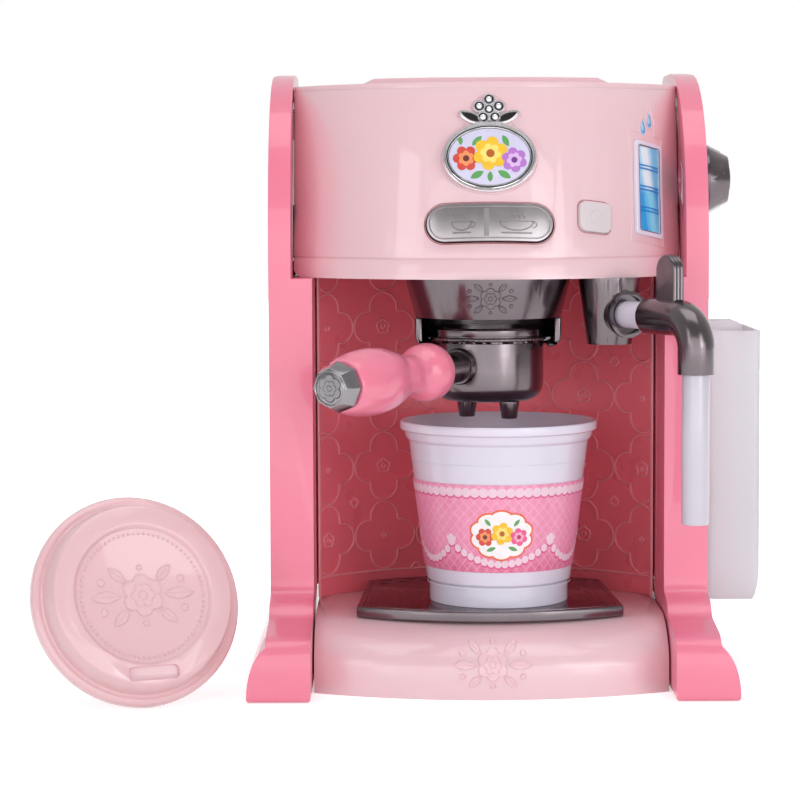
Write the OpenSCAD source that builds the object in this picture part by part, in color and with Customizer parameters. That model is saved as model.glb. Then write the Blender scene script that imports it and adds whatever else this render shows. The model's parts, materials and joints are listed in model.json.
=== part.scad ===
// Toy coffee maker: a play espresso machine with a lock-in portafilter, a
// swinging steam wand, a lift-off water tank, a drip tray, a cup and its lid.
// Millimetres. +X is the machine's right, +Y its back, +Z up. The origin is on
// the floor, in the middle of the machine's own footprint.

/* [Body] */
// Width over the two side panels
body_w = 195; // [188:1:205]
// Depth from the front of the feet to the back edge of the panels
body_d = 170; // [164:1:180]
// Height of the side panels
panel_h = 272; // [269:1:285]
// Thickness of a side panel beside the cup bay
panel_t = 19.4; // [18:0.1:22]
// Thickness of a side panel beside the head
flange_t = 9.9; // [8:0.1:12]
// How far the feet reach forward of the panels' front face
foot_l = 56; // [45:1:60]
// Height at which the feet leave the panels' front face
foot_h = 38; // [34:1:44]
// How far the feet flare out sideways at the floor
flare_w = 8.2; // [5:0.1:11]
// Wall of the moulded housings
wall = 2.4; // [2:0.1:3]

/* [Head] */
// Height of the head's underside
head_z = 179.5; // [176:0.5:190]
// How far the head's top lies below the panels' top
head_drop = 6.5; // [4:0.5:10]
// Radius of the head's curved front
head_r = 102; // [98:1:112]
// Lean of the head's front
head_tilt = 14; // [8:0.5:18]
// How far the head's front stands forward of the panels' front face
head_reach = 26; // [20:1:32]
// Height of the raised cup shelf on the top cover
shelf_h = 3; // [2:0.5:5]
// Width of that shelf
shelf_w = 115; // [90:1:120]

/* [Controls] */
// Badge width
badge_w = 41; // [34:1:46]
// Badge height
badge_h = 31; // [24:0.5:32]
// Height of the badge's middle
badge_z = 232; // [229:1:234]
// Rocker button length
rocker_w = 55; // [48:1:58]
// Rocker button height
rocker_h = 16.5; // [15:0.5:19]
// Height of the rocker's middle
rocker_z = 204; // [201:0.5:205]
// Tilt of the rocker each way
rocker_swing = 3; // [2:0.5:3]
// Light button width
light_w = 16; // [13:0.5:17]
// Light button height
light_h = 13.5; // [11:0.5:15]
// Angle of the light button round the head's front
light_angle = 27; // [26:0.5:28]
// Travel of the light button
light_travel = 1.2; // [0.8:0.1:1.8]
// Gauge frame width
gauge_w = 18; // [15:0.5:20]
// Gauge frame height
gauge_h = 43; // [38:1:46]
// Distance of the gauge's middle in from the side of the head
gauge_in = 15.6; // [15:0.1:20]
// Height of the gauge's middle
gauge_z = 218; // [216:1:222]
// Diameter of the steam knob's base
knob_d = 31; // [26:0.5:34]
// How far the steam knob stands out of the panel
knob_l = 12; // [10:0.5:15]

/* [Brewing] */
// Distance of the brew axis behind the panels' front face
brew_back = 9; // [6:1:12]
// Brew head diameter under the head
brew_d1 = 74; // [70:1:78]
// Brew head diameter at its lower end
brew_d2 = 65; // [62:1:68]
// Height of the brew head
brew_h = 17.5; // [15:0.5:20]
// Depth of the lock collar under the brew head
collar_h = 13.4; // [12:0.2:15]
// Diameter of the portafilter's bowl
bowl_d = 49.4; // [46:0.2:51]
// Height of the bowl
bowl_h = 33; // [30:0.5:35]
// Length of the portafilter from its axis to the end of the handle
handle_l = 125; // [112:1:132]
// Greatest diameter of the handle
handle_d = 28.4; // [26:0.2:32]
// Angle of the locked handle to the left of straight ahead
handle_angle = 33; // [25:1:40]
// Droop of the handle
handle_droop = 1.7; // [0:0.1:3]
// Distance between the two spouts
spout_gap = 22; // [16:0.5:23]

/* [Steam] */
// Distance of the steam head from the middle of the machine
steam_x = 53.5; // [52:0.5:56]
// Steam head diameter under the head
steam_d1 = 27.5; // [25:0.5:29]
// Steam head diameter at its lower end
steam_d2 = 19.8; // [18:0.2:22]
// Height of the steam head
steam_h = 29.5; // [28:0.5:32]
// Angle of the arm to the right of straight ahead
arm_angle = 31; // [25:1:36]
// Length of the arm from the steam head's axis to the wand's axis
arm_l = 63; // [58:1:68]
// Diameter of the white tubes
tube_d = 12; // [10:0.2:12.4]
// Diameter of the silver elbow
elbow_d = 15.6; // [14.6:0.2:17]
// Length of wand that shows below the elbow
wand_l = 64; // [50:1:70]

/* [Base and tray] */
// Height of the base's flat top
base_h = 30; // [28:0.5:32]
// Radius of the base's curved front
base_r = 174; // [160:1:190]
// How far the base's front stands forward of the panels' front face
base_reach = 50; // [48:1:52]
// Width of the drip tray
tray_w = 120; // [116:1:126]
// Thickness of the drip tray
tray_t = 4.8; // [4:0.2:6]

/* [Cup] */
// Cup rim diameter
cup_d1 = 88; // [84:1:90]
// Cup foot diameter
cup_d2 = 62; // [58:1:66]
// Cup height
cup_h = 81; // [78:0.5:81]
// Cup wall
cup_t = 1.4; // [1.2:0.1:2]
// Diameter of the loose lid
lid_d = 92; // [90:0.5:95]
// Height of the loose lid
lid_h = 15; // [13:0.5:17]
// Lean of the lid as it stands on its rim
lid_lean = 22; // [15:1:30]

/* [Tank] */
// How far the tank stands out of the right panel
tank_w = 25.7; // [23:0.1:28]
// Tank length from front to back
tank_l = 64; // [54:1:70]
// Height of the tank's underside
tank_z = 32.5; // [30:0.5:36]
// Height of the tank's rim above its underside
tank_h = 122; // [118:1:126]

/* [Fits] */
// Clearance of pieces that slide or press
slide_fit = 0.25; // [0.15:0.05:0.35]
// Radial clearance of pieces that turn
turn_fit = 0.1; // [0.05:0.01:0.1]
// Gap between fixed pieces that stand side by side
seam = 0.1; // [0.05:0.05:0.2]
// Gap that shows between the panels and the head or the back wall
side_gap = 0.5; // [0.3:0.1:0.8]

/* [Hidden] */
$fn = 64;

// Places in plan, from the depth and the offsets above
back_y = body_d / 2;
foot_y = -body_d / 2;
face_y = foot_y + foot_l;
brew_y = face_y + brew_back;
head_y = face_y - head_reach;
base_y = face_y - base_reach;
cover_y = back_y - 2;
split_y = back_y - 27;
panel_in = body_w / 2 - panel_t;
head_half = body_w / 2 - flange_t - side_gap;
head_top = panel_h - head_drop;
base_half = panel_in - 0.8;
gauge_angle = asin((head_half - gauge_in) / head_r);
big = 400;

// ---- 2D and helper shapes ----

function bez(a, b, c, d, n) =
  [for (i = [0:n]) let (t = i / n, u = 1 - t)
    u * u * u * a + 3 * u * u * t * b + 3 * u * t * t * c + t * t * t * d];

function arc(x, y, r, a0, a1, n) =
  [for (i = [0:n]) let (a = a0 + (a1 - a0) * i / n) [x + r * cos(a), y + r * sin(a)]];

function oval(w, h, n) =
  [for (i = [0:n - 1]) [w / 2 * cos(360 * i / n), h / 2 * sin(360 * i / n)]];

// Rectangle with round corners, centred
module soft_rect(w, h, r) {
  square([w - 2 * r, h], center = true);
  square([w, h - 2 * r], center = true);
  for (x = [-1, 1], y = [-1, 1])
    translate([x * (w / 2 - r), y * (h / 2 - r)]) circle(r);
}

// Rectangle from the origin with only its far corner round
module soft_rect_corner(w, h, r) {
  square([w - r, h]);
  square([w, h - r]);
  translate([w - r, h - r]) circle(r);
}

// Bar with round ends, centred
module stadium(w, h) soft_rect(w, h, h / 2 - 0.001);

// A YZ outline made solid along X between two places
module along_x(x0, x1) translate([x0, 0, 0]) rotate([90, 0, 90]) linear_extrude(x1 - x0) children();

// An XZ outline made solid along Y between two places
module along_y(y0, y1) translate([0, y1, 0]) rotate([90, 0, 0]) linear_extrude(y1 - y0) children();

module ring(r1, r0, h) difference() {
  cylinder(r = r1, h = h);
  translate([0, 0, -1]) cylinder(r = r0, h = h + 2);
}

// ---- Side panels ----

panel_top_l = 28;   // flat length along the panel's top edge
corner_r = 12;      // upper rear corner
rim_r = 3;          // lower corners

// Seen from the side: toe, ledge, upright front, swept-back top
function panel_outline() = concat(
  arc(foot_y + rim_r, rim_r, rim_r, 270, 180, 4),
  bez([foot_y, 6], [foot_y, foot_h * 0.56], [foot_y + 0.5, foot_h * 0.7],
      [foot_y + foot_l * 0.18, foot_h * 0.74], 7),
  bez([foot_y + foot_l * 0.62, foot_h * 0.80], [foot_y + foot_l * 0.71, foot_h * 0.82],
      [foot_y + foot_l * 0.73, foot_h * 0.965], [foot_y + foot_l * 0.84, foot_h * 0.985], 6),
  bez([foot_y + foot_l * 0.9, foot_h], [face_y - 1.5, foot_h + 0.6],
      [face_y, foot_h + 2], [face_y, foot_h + 8], 5),
  bez([face_y, head_z + 10], [face_y, panel_h - 44], [face_y + 17, panel_h - 2],
      [back_y - corner_r - panel_top_l, panel_h], 14),
  arc(back_y - corner_r, panel_h - corner_r, corner_r, 90, 0, 6),
  arc(back_y - rim_r, rim_r, rim_r, 0, -90, 4)
);

// Seen from the front: thick beside the bay, thin beside the head, flared foot
flare_z = 23;
function panel_section() = let (o = body_w / 2) concat(
  arc(panel_in + 2, 2, 2, 180, 270, 3),
  arc(o + flare_w - 1.5, 1.5, 1.5, 270, 360, 3),
  bez([o + flare_w, 2], [o + flare_w, 11], [o + flare_w * 0.66, flare_z - 3.5],
      [o + 0.6, flare_z], 8),
  [[o, flare_z + 1]],
  arc(o - 2.5, panel_h - 2.5, 2.5, 0, 90, 4),
  [[o - flange_t, panel_h], [o - flange_t, head_z - seam], [panel_in, head_z - seam]]
);

pocket_z0 = base_h + 8;
pocket_z1 = head_z - 8;
module panel_form() intersection() {
  along_x(0, big) polygon(panel_outline());
  along_y(-big, big) polygon(panel_section());
}

// Hollows on the side that the housings cover
module panel_pockets() {
  rib = 3;
  low_l = 49;
  low_y = back_y - low_l - 8;
  for (i = [0:2]) {
    h = (pocket_z1 - pocket_z0 - 2 * rib) / 3;
    translate([panel_in - 1, low_y, pocket_z0 + i * (h + rib)])
      cube([panel_t - wall + 1, low_l, h]);
  }
  mid_h = 24;
  mid_l = back_y - face_y - 36;
  top_h = 14;
  top_l = mid_l - 16;
  translate([panel_in - 1, face_y + 30, head_z + 8]) cube([panel_t - wall + 1, mid_l, mid_h]);
  translate([panel_in - 1, face_y + 44, panel_h - 16.5 - top_h]) cube([panel_t - wall + 1, top_l, top_h]);
}

module left_panel() color("hotpink") mirror([1, 0, 0]) difference() {
  panel_form();
  panel_pockets();
}

knob_y = brew_y + 20;
knob_z = head_z + 43;
shaft_r = 4;
knob_wall = 3.6;        // wall left for the knob's bearing
rail_hole_l = 7;
module right_panel() color("hotpink") difference() {
  panel_form();
  panel_pockets();
  translate([panel_in, knob_y, knob_z]) rotate([0, 90, 0])
    cylinder(r = 8, h = panel_t - knob_wall);
  translate([panel_in, knob_y, knob_z]) rotate([0, 90, 0])
    cylinder(r = shaft_r + turn_fit, h = panel_t + 5);
  rail_frame() for (s = [-1, 1]) translate([-rail_hole_l, 0, s * rail_screw])
    rotate([0, 90, 0]) cylinder(r = rail_pin_r + seam, h = rail_hole_l + 1);
}

// ---- Head: a leaning cylinder cut by flat planes ----

head_cy = head_y + head_r / cos(head_tilt);
axis_low = 60;          // how far the leaning forms reach below the head
axis_l = 240;
module head_axis() translate([0, head_cy, head_z]) rotate([-head_tilt, 0, 0]) children();
module head_round(r) head_axis() translate([0, 0, -axis_low])
  cylinder(r = r, h = axis_l, $fn = 180);

// Distance up the leaning axis that puts a point of the front at height z
function head_up(z, a, r = head_r) = (z - head_z - r * cos(a) * sin(head_tilt)) / cos(head_tilt);

// On the front at angle a and height z: X along the front, Y up, Z outward
module on_head(a, z, r = head_r)
  head_axis() rotate([0, 0, a]) translate([0, -r, head_up(z, a)]) rotate([90, 0, 0]) children();

lid_t = wall;
shell_top = head_top - lid_t;
corner_low = 4;
module head_front_outline(in, low) difference() {
  translate([-head_half + in, head_z - low]) square([2 * (head_half - in), shell_top - head_z + low]);
  if (in == 0) for (s = [-1, 1]) translate([s * head_half, head_z]) difference() {
    square(2 * corner_low, center = true);
    translate([-s * corner_low, corner_low]) circle(corner_low);
    translate([-s * 2 * corner_low, 0]) square(2 * corner_low + 0.001, center = true);
  }
}

groove_z = head_z + 8.5;
rocker_gap = 0.6;
light_z = rocker_z + 2;
light_corner = 3.4;
pin_r = 1.6;
pin_depth = 7;          // rocker pin axis below the front's surface
ear_t = 3.5;
module rocker_ears() for (s = [-1, 1]) on_head(0, rocker_z)
  translate([-4, s > 0 ? rocker_h / 2 + 1 : -rocker_h / 2 - 1 - ear_t, -pin_depth - 3.5])
    cube([8, ear_t, pin_depth + 3.5 - wall / 2]);

post_r = 3.6;
post_x = head_half - wall - post_r - slide_fit;
post_z = head_top - 16;
module head_shell() color("pink") difference() {
  union() {
    difference() {
      intersection() {
        head_round(head_r);
        along_y(-big / 2, split_y) head_front_outline(0, 0);
      }
      intersection() {
        head_round(head_r - wall);
        along_y(-big / 2, split_y + 1)
          translate([-head_half + wall, head_z - 1])
            square([2 * (head_half - wall), shell_top - head_z + 2]);
      }
    }
    intersection() {
      rocker_ears();
      head_round(head_r - wall / 2);
    }
    intersection() {
      board_frame() for (p = board_post) translate([p[0], p[1], seam]) cylinder(r = board_post_r, h = 40);
      head_round(head_r - wall / 2);
    }
    for (s = [-1, 1]) translate([s * post_x, split_y - 34, post_z]) rotate([-90, 0, 0])
      cylinder(r = post_r, h = cover_y - wall - seam - split_y + 34);
    for (s = [-1, 1]) translate([s * (head_half - wall) - (s > 0 ? 4 : 0), split_y - 34, post_z - 2])
      cube([4, 34, 4]);
  }
  // line round the lower edge
  difference() {
    translate([-big / 2, -big / 2, groove_z]) cube([big, big, 0.9]);
    head_round(head_r - 0.5);
    translate([-big / 2, split_y - 30, 0]) cube([big, big, big]);
  }
  on_head(0, rocker_z) translate([0, 0, -8]) linear_extrude(14)
    stadium(rocker_w + 2 * rocker_gap, rocker_h + 2 * rocker_gap);
  on_head(0, rocker_z) translate([0, -rocker_h, -pin_depth]) rotate([-90, 0, 0])
    cylinder(r = pin_r + turn_fit, h = 2 * rocker_h);
  on_head(light_angle, light_z) translate([0, 0, -6]) linear_extrude(12)
    soft_rect(light_w + 2 * slide_fit, light_h + 2 * slide_fit, light_corner + slide_fit);
  for (s = [-1, 1]) translate([s * post_x, split_y, post_z]) rotate([-90, 0, 0])
    cylinder(r = 1.3, h = 60);
}

shelf_y = face_y + 19;
shelf_back = 20;        // how far the shelf's round front stands behind the head's
module top_cover() color("pink") {
  intersection() {
    head_round(head_r);
    translate([-head_half, -big / 2, shell_top]) cube([2 * head_half, big / 2 + cover_y, lid_t]);
  }
  // locating rim inside the shell
  difference() {
    intersection() {
      head_round(head_r - wall - slide_fit);
      translate([-head_half + wall + slide_fit, -big / 2, shell_top - 3])
        cube([2 * (head_half - wall - slide_fit), big / 2 + split_y - 40, 3.01]);
    }
    intersection() {
      head_round(head_r - 2 * wall - slide_fit);
      translate([-head_half + 2 * wall + slide_fit, -big / 2, shell_top - 4])
        cube([2 * (head_half - 2 * wall - slide_fit), big, 5]);
    }
  }
  intersection() {
    along_y(shelf_y, cover_y - 8)
      polygon([[-shelf_w / 2, head_top - 0.01], [shelf_w / 2, head_top - 0.01],
               [shelf_w / 2 - 7, head_top + shelf_h], [-shelf_w / 2 + 7, head_top + shelf_h]]);
    head_axis() translate([0, shelf_back, -axis_low]) cylinder(r = head_r, h = axis_l, $fn = 180);
  }
}

brew_spigot_r = 12;
steam_spigot_r = 3.2;
floor_z = head_z + wall;
module head_floor() color("pink") difference() {
  intersection() {
    head_round(head_r - wall - seam);
    translate([-head_half + wall + seam, -big / 2, head_z])
      cube([2 * (head_half - wall - seam), big / 2 + split_y - seam, wall]);
  }
  translate([0, brew_y, head_z - 1]) cylinder(r = brew_spigot_r + seam, h = wall + 2);
  translate([steam_x, steam_y, head_z - 1]) cylinder(r = steam_spigot_r + seam, h = wall + 2);
}

// ---- Back wall, rear cover ----

wall_r = 98.6;         // curve of the bay's back
wall_edge_y = face_y + 44;
wall_cy = wall_edge_y - sqrt(wall_r * wall_r - panel_in * panel_in);
module back_wall() color("indianred") intersection() {
  translate([0, wall_cy, base_h]) ring(wall_r + wall, wall_r, head_z - base_h, $fn = 180);
  translate([-panel_in + side_gap, wall_cy, 0]) cube([2 * (panel_in - side_gap), big, big]);
}

speaker_z = head_top - 43.5;
speaker_r = 18;
magnet_r = speaker_r / 2;
speaker_rim = 3;
speaker_deep = 4;       // depth of its cone, and of its magnet
slot_pitch = 4;
slot_w = 1.8;
module cover_outline(in) {
  for (k = [[panel_in - seam, base_h + seam, head_z], [head_half, head_z, shell_top - seam]])
    translate([-k[0] + in, k[1] - in])
      square([2 * (k[0] - in), k[2] - k[1] + (k[2] > head_z ? 0 : in)]);
}
module rear_cover() color("pink") difference() {
  along_y(split_y, cover_y) cover_outline(0);
  along_y(split_y - 1, cover_y - wall) cover_outline(wall);
  // speaker slots
  for (i = [-4:4]) translate([0, cover_y, speaker_z + slot_pitch * i]) rotate([90, 0, 0])
    translate([0, 0, -1]) linear_extrude(wall + 2)
      stadium(sqrt(pow(speaker_r - 1, 2) - pow(slot_pitch * i, 2)) * 2, slot_w);
  for (s = [-1, 1]) {
    translate([s * post_x, cover_y - wall - 1, post_z]) rotate([-90, 0, 0])
      cylinder(r = 1.7, h = wall + 2);
    translate([s * low_post_x, cover_y - wall - 1, low_post_z]) rotate([-90, 0, 0])
      cylinder(r = 1.7, h = wall + 2);
  }
  translate([switch_x, cover_y - wall - 1, switch_z]) rotate([-90, 0, 0]) linear_extrude(wall + 2)
    square([switch_w + switch_travel + 2 * slide_fit, switch_h + 2 * slide_fit], center = true);
}

switch_w = 5;
switch_h = 4;
switch_travel = 4;
switch_x = -base_half + 37.3;
switch_z = base_h + 30;
module power_switch() color("white") translate([switch_x - switch_travel / 2, 0, switch_z]) {
  translate([-switch_w / 2, cover_y - wall - 0.2, -switch_h / 2]) cube([switch_w, wall + 1.4, switch_h]);
  translate([-switch_w / 2 - 3, cover_y - wall - 2.2, -switch_h / 2 - 2])
    cube([switch_w + 6, 2, switch_h + 4]);
}

screw_head_r = 2.9;
screw_r = 1.2;
rear_screw_l = 14;
low_screw_l = 10;
module screw(l, head_h = 1.8) {
  cylinder(r = screw_head_r, h = head_h);
  translate([0, 0, -l]) cylinder(r = screw_r, h = l);
}
low_post_x = base_half - 17.3;
low_post_z = base_h + 8;
module rear_screws() color("silver") for (s = [-1, 1]) {
  translate([s * post_x, cover_y, post_z]) rotate([-90, 0, 0]) screw(rear_screw_l);
  translate([s * low_post_x, cover_y, low_post_z]) rotate([-90, 0, 0]) screw(low_screw_l);
}

// ---- Brew head and lock collar ----

brew_z = head_z - brew_h;
module brew_head() color("silver") translate([0, brew_y, 0]) {
  difference() {
    translate([0, 0, brew_z]) cylinder(r1 = brew_d2 / 2, r2 = brew_d1 / 2, h = brew_h);
    translate([0, 0, brew_z + 3]) cylinder(r1 = brew_d2 / 2 - 2.5, r2 = brew_d1 / 2 - 2.5, h = brew_h);
    for (a = [0:45:315]) rotate([0, 0, a]) translate([12, 0, brew_z - 1]) cylinder(r = 1.3, h = 6);
  }
  translate([0, 0, brew_z + 2.9]) ring(brew_spigot_r, brew_spigot_r - 3, head_z + 8 - brew_z - 2.9);
}
module brew_head_nut() color("silver") translate([0, brew_y, floor_z])
  ring(brew_spigot_r + 6, brew_spigot_r + seam, 4);

collar_r = brew_d2 / 2;
collar_t = 3.2;
hook_r = 5;                     // round under the hooks
lip_r = bowl_d / 2 + 1.5;       // inner edge of the lip that carries the lugs
lip_t = 2;
collar_z = brew_z - collar_h;
collar_run = 6;                 // straight lead-in ahead of the round part
// Hook seen in section: a wall that curls in to a lip
module hook_section() polygon(concat(
  [[collar_r - collar_t, brew_z], [collar_r - collar_t, collar_z + lip_t], [lip_r, collar_z + lip_t],
   [lip_r, collar_z]],
  arc(collar_r - hook_r, collar_z + hook_r, hook_r, 270, 360, 5),
  [[collar_r, brew_z]]));
module lock_collar() color("silver") translate([0, brew_y, 0]) {
  rotate_extrude(angle = 180, $fn = 96) hook_section();
  for (s = [0, 1]) mirror([s, 0, 0])
    rotate([90, 0, 0]) linear_extrude(collar_run) hook_section();
}

// ---- Portafilter ----

lug_t = 1.6;
ring_h = 3.2;                   // the bead ring's groove
ring_sink = 0.9;
lug_z = collar_z + lip_t + slide_fit;
lug_gap = 1.1;                  // between a lug's edge and the hooks' wall
lug_r = collar_r - collar_t - lug_gap;
bead_z = lug_z + 1.75;
bowl_top = bead_z + 5;
bowl_z = bowl_top - bowl_h;
bowl_r = bowl_d / 2;
bowl_wall = 2;
basket_r = bowl_r - bowl_wall - turn_fit;
basket_h = 19;
basket_z = bowl_top - basket_h;
module bowl_axis() translate([0, brew_y, 0]) children();
module handle_frame() bowl_axis() rotate([0, 0, -handle_angle]) children();

module filter_basket() color("silver") bowl_axis() difference() {
  translate([0, 0, basket_z + turn_fit]) cylinder(r = basket_r, h = basket_h - turn_fit - 0.6);
  translate([0, 0, basket_z + 1.5]) cylinder(r = basket_r - 1.2, h = basket_h);
  for (r = [5, 10, 15]) for (a = [0:360 / r * 1.25:359]) rotate([0, 0, a])
    translate([r, 0, basket_z - 1]) cylinder(r = 0.9, h = 4, $fn = 8);
}

module portafilter_bowl() color("silver") {
  bowl_axis() difference() {
    rotate_extrude($fn = 96) polygon(concat(
      [[0, bowl_z]], bez([bowl_r - 9, bowl_z], [bowl_r - 3.5, bowl_z + 0.3],
                        [bowl_r, bowl_z + 3.2], [bowl_r, bowl_z + 8.5], 7),
      [[bowl_r, bowl_top - 1], [bowl_r - 0.7, bowl_top], [0, bowl_top]]));
    translate([0, 0, basket_z]) cylinder(r = bowl_r - bowl_wall, h = big);
    translate([0, 0, bowl_z + 3]) cylinder(r = bowl_r - 7, h = big);
    translate([0, 0, lug_z]) ring(bowl_r + 1, bowl_r - ring_sink, ring_h);
    rotate([0, 0, -handle_angle]) for (s = [-1, 1])
      translate([s * spout_gap / 2, 0, bowl_z - 1]) cylinder(r = spout_bore, h = 6);
  }
}
// Sprung into a groove of the bowl: a row of beads, and two lugs that ride on the collar's lip
module bead_ring() color("silver") bowl_axis() {
  translate([0, 0, lug_z + seam]) rotate_extrude($fn = 96)
    translate([bowl_r - ring_sink + seam, 0]) square([ring_sink, ring_h - 2 * seam]);
  translate([0, 0, bead_z]) rotate_extrude($fn = 96)
    translate([bowl_r + 0.1, 0]) circle(r = 0.9, $fn = 16);
  for (a = [4, 130]) rotate([0, 0, a]) translate([0, 0, lug_z + seam])
    rotate_extrude(angle = 46, $fn = 96) translate([bowl_r - 0.3, 0]) square([lug_r - bowl_r + 0.3, lug_t]);
}

spout_lift = 0.7;       // how far the spouts end above the cup's rim
spout_bore = 2.2;
module portafilter_spouts() color("silver") handle_frame() {
  spout_l = bowl_z - cup_rim_z - spout_lift;
  for (s = [-1, 1]) translate([s * spout_gap / 2, 0, bowl_z - spout_l]) difference() {
    cylinder(r1 = 3.5, r2 = 4.6, h = spout_l);
    translate([0, 0, -1]) cylinder(r = spout_bore, h = spout_l + 2);
  }
}

// Handle axis: starts on the bowl's axis and droops outward along -Y
handle_z = bowl_z + 17;
stub_r = 6.75;
tang_l = 22;                    // how far the stub's tang runs into the grip
grip_start = bowl_r + 19.3;
cap_l = 9;
grip_end = handle_l - cap_l;
module handle_axis() handle_frame() translate([0, 0, handle_z]) rotate([90 + handle_droop, 0, 0]) children();

module handle_stub() color("silver") difference() {
  handle_axis() {
    cylinder(r = stub_r, h = grip_start);
    cylinder(r = stub_r - 2, h = grip_start + tang_l);
    translate([0, 0, bowl_r - 0.5]) cylinder(r1 = stub_r + 1.6, r2 = stub_r + 0.8, h = 2);
  }
  bowl_axis() cylinder(r = bowl_r + 0.01, h = big, $fn = 96);
}

grip_r = handle_d / 2;
module handle_grip() color("hotpink") handle_axis() difference() {
  rotate_extrude() polygon(concat(
    [[0, grip_start]],
    [[grip_r * 0.68, grip_start]],
    bez([grip_r * 0.74, grip_start + 0.6], [grip_r * 0.86, grip_start + 3],
        [grip_r * 0.91, grip_start + 6], [grip_r * 0.88, grip_start + 9], 5),
    bez([grip_r * 0.84, grip_start + 12], [grip_r * 0.72, grip_start + 16],
        [grip_r * 0.50, grip_start + 16.5], [grip_r * 0.57, grip_start + 22.5], 7),
    bez([grip_r * 0.60, grip_start + 26], [grip_r * 0.72, grip_start + 33],
        [grip_r, grip_start + 41], [grip_r, grip_start + 52], 7),
    bez([grip_r * 0.995, grip_start + 55], [grip_r * 0.97, grip_end - 8],
        [grip_r * 0.86, grip_end - 3], [grip_r * 0.74, grip_end], 5),
    [[0, grip_end]]));
  translate([0, 0, grip_start - 1]) cylinder(r = stub_r - 2 + seam, h = tang_l + 2);
  translate([0, 0, grip_end - 8]) cylinder(r = 3 + seam, h = 10);
}

cap_r1 = 10.8;
cap_r2 = 8.2;
module handle_cap() color("silver") handle_axis() translate([0, 0, grip_end]) {
  cylinder(r1 = cap_r1 * 0.94, r2 = cap_r1, h = 2.5, $fn = 8);
  translate([0, 0, 2.5]) cylinder(r1 = cap_r1, r2 = cap_r2, h = cap_l - 2.5, $fn = 8);
  translate([0, 0, -7.5]) cylinder(r = 3, h = 7.6);
}

// ---- Steam head, arm and wand ----

steam_y = face_y + 1;
arm_z = head_z - 16;
ring_r = 10.3;
ring_reach = 15;
module steam_frame() translate([steam_x, steam_y, arm_z]) rotate([0, 0, arm_angle]) children();
module arm_axis() steam_frame() rotate([90, 0, 0]) children();

bore_l = 11;
module steam_head() color("silver") difference() {
  union() {
    translate([steam_x, steam_y, head_z - steam_h])
      cylinder(r1 = steam_d2 / 2, r2 = steam_d1 / 2, h = steam_h);
    arm_axis() translate([0, 0, 3]) cylinder(r1 = ring_r - 3, r2 = ring_r - 0.2, h = ring_reach - 5);
    arm_axis() translate([0, 0, ring_reach - 2.01]) cylinder(r = ring_r, h = 2.01);
    translate([steam_x, steam_y, head_z - 0.01]) cylinder(r = steam_spigot_r, h = wall + 6);
  }
  arm_axis() translate([0, 0, ring_reach - bore_l]) cylinder(r = tube_d / 2 + turn_fit, h = big / 4);
  arm_axis() translate([0, 0, ring_reach - 2.4]) cylinder(r = ring_r - 1.8, h = 4);
}
module steam_head_nut() color("silver") translate([steam_x, steam_y, floor_z])
  ring(steam_spigot_r + 2, steam_spigot_r + seam, 3);

elbow_start = 30;
module steam_tube() color("white") arm_axis() translate([0, 0, ring_reach - bore_l + slide_fit])
  cylinder(r = tube_d / 2, h = elbow_start - ring_reach + bore_l + 6 - slide_fit);

bend_r = 13;
elbow_low = 23.5;
tab_w = 5.6;
tab_l = 11.4;
tab_h = 20;                     // from the arm's axis to the middle of the tab's round top
module tab_frame() steam_frame() translate([0, -arm_l + bend_r + 5.5, tab_h]) children();
// A flat tab with a round top. Three flutes run up its front, over the top and down its back
module thumb_tab() {
  flute_r = tab_w / 5.4;
  rotate([0, 90, 0]) translate([0, 0, -tab_w / 2]) cylinder(r = tab_l / 2, h = tab_w);
  translate([-tab_w / 2, -tab_l / 2, -tab_h]) cube([tab_w, tab_l, tab_h]);
  for (i = [-1:1]) {
    for (s = [-1, 1]) translate([i * (tab_w / 2 - flute_r), s * tab_l / 2, -tab_h])
      cylinder(r = flute_r, h = tab_h, $fn = 24);
    rotate([0, 90, 0]) rotate(90) rotate_extrude(angle = 180, $fn = 48)
      translate([tab_l / 2, i * (tab_w / 2 - flute_r)]) circle(flute_r, $fn = 24);
  }
}
module steam_elbow() color("silver") difference() {
  union() {
    arm_axis() translate([0, 0, elbow_start]) cylinder(r = elbow_d / 2, h = arm_l - bend_r - elbow_start);
    steam_frame() translate([0, -arm_l + bend_r, -bend_r]) rotate([0, -90, 0]) rotate([180, 0, 0])
      rotate_extrude(angle = 90) translate([bend_r, 0]) circle(elbow_d / 2);
    steam_frame() translate([0, -arm_l, -elbow_low]) cylinder(r = elbow_d / 2, h = elbow_low - bend_r);
    tab_frame() thumb_tab();
  }
  arm_axis() translate([0, 0, elbow_start - 1]) cylinder(r = tube_d / 2 + 0.02, h = 7.2);
  steam_frame() translate([0, -arm_l, -elbow_low - 1]) cylinder(r = tube_d / 2 + 0.02, h = 9);
}

module steam_wand() color("white") steam_frame() translate([0, -arm_l, -elbow_low - wand_l])
  difference() {
    cylinder(r = tube_d / 2 - 0.15, h = wand_l + 7.8);
    translate([0, 0, -1]) cylinder(r = 1.6, h = 12);
  }

// ---- Badge, gauge, buttons ----

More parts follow.
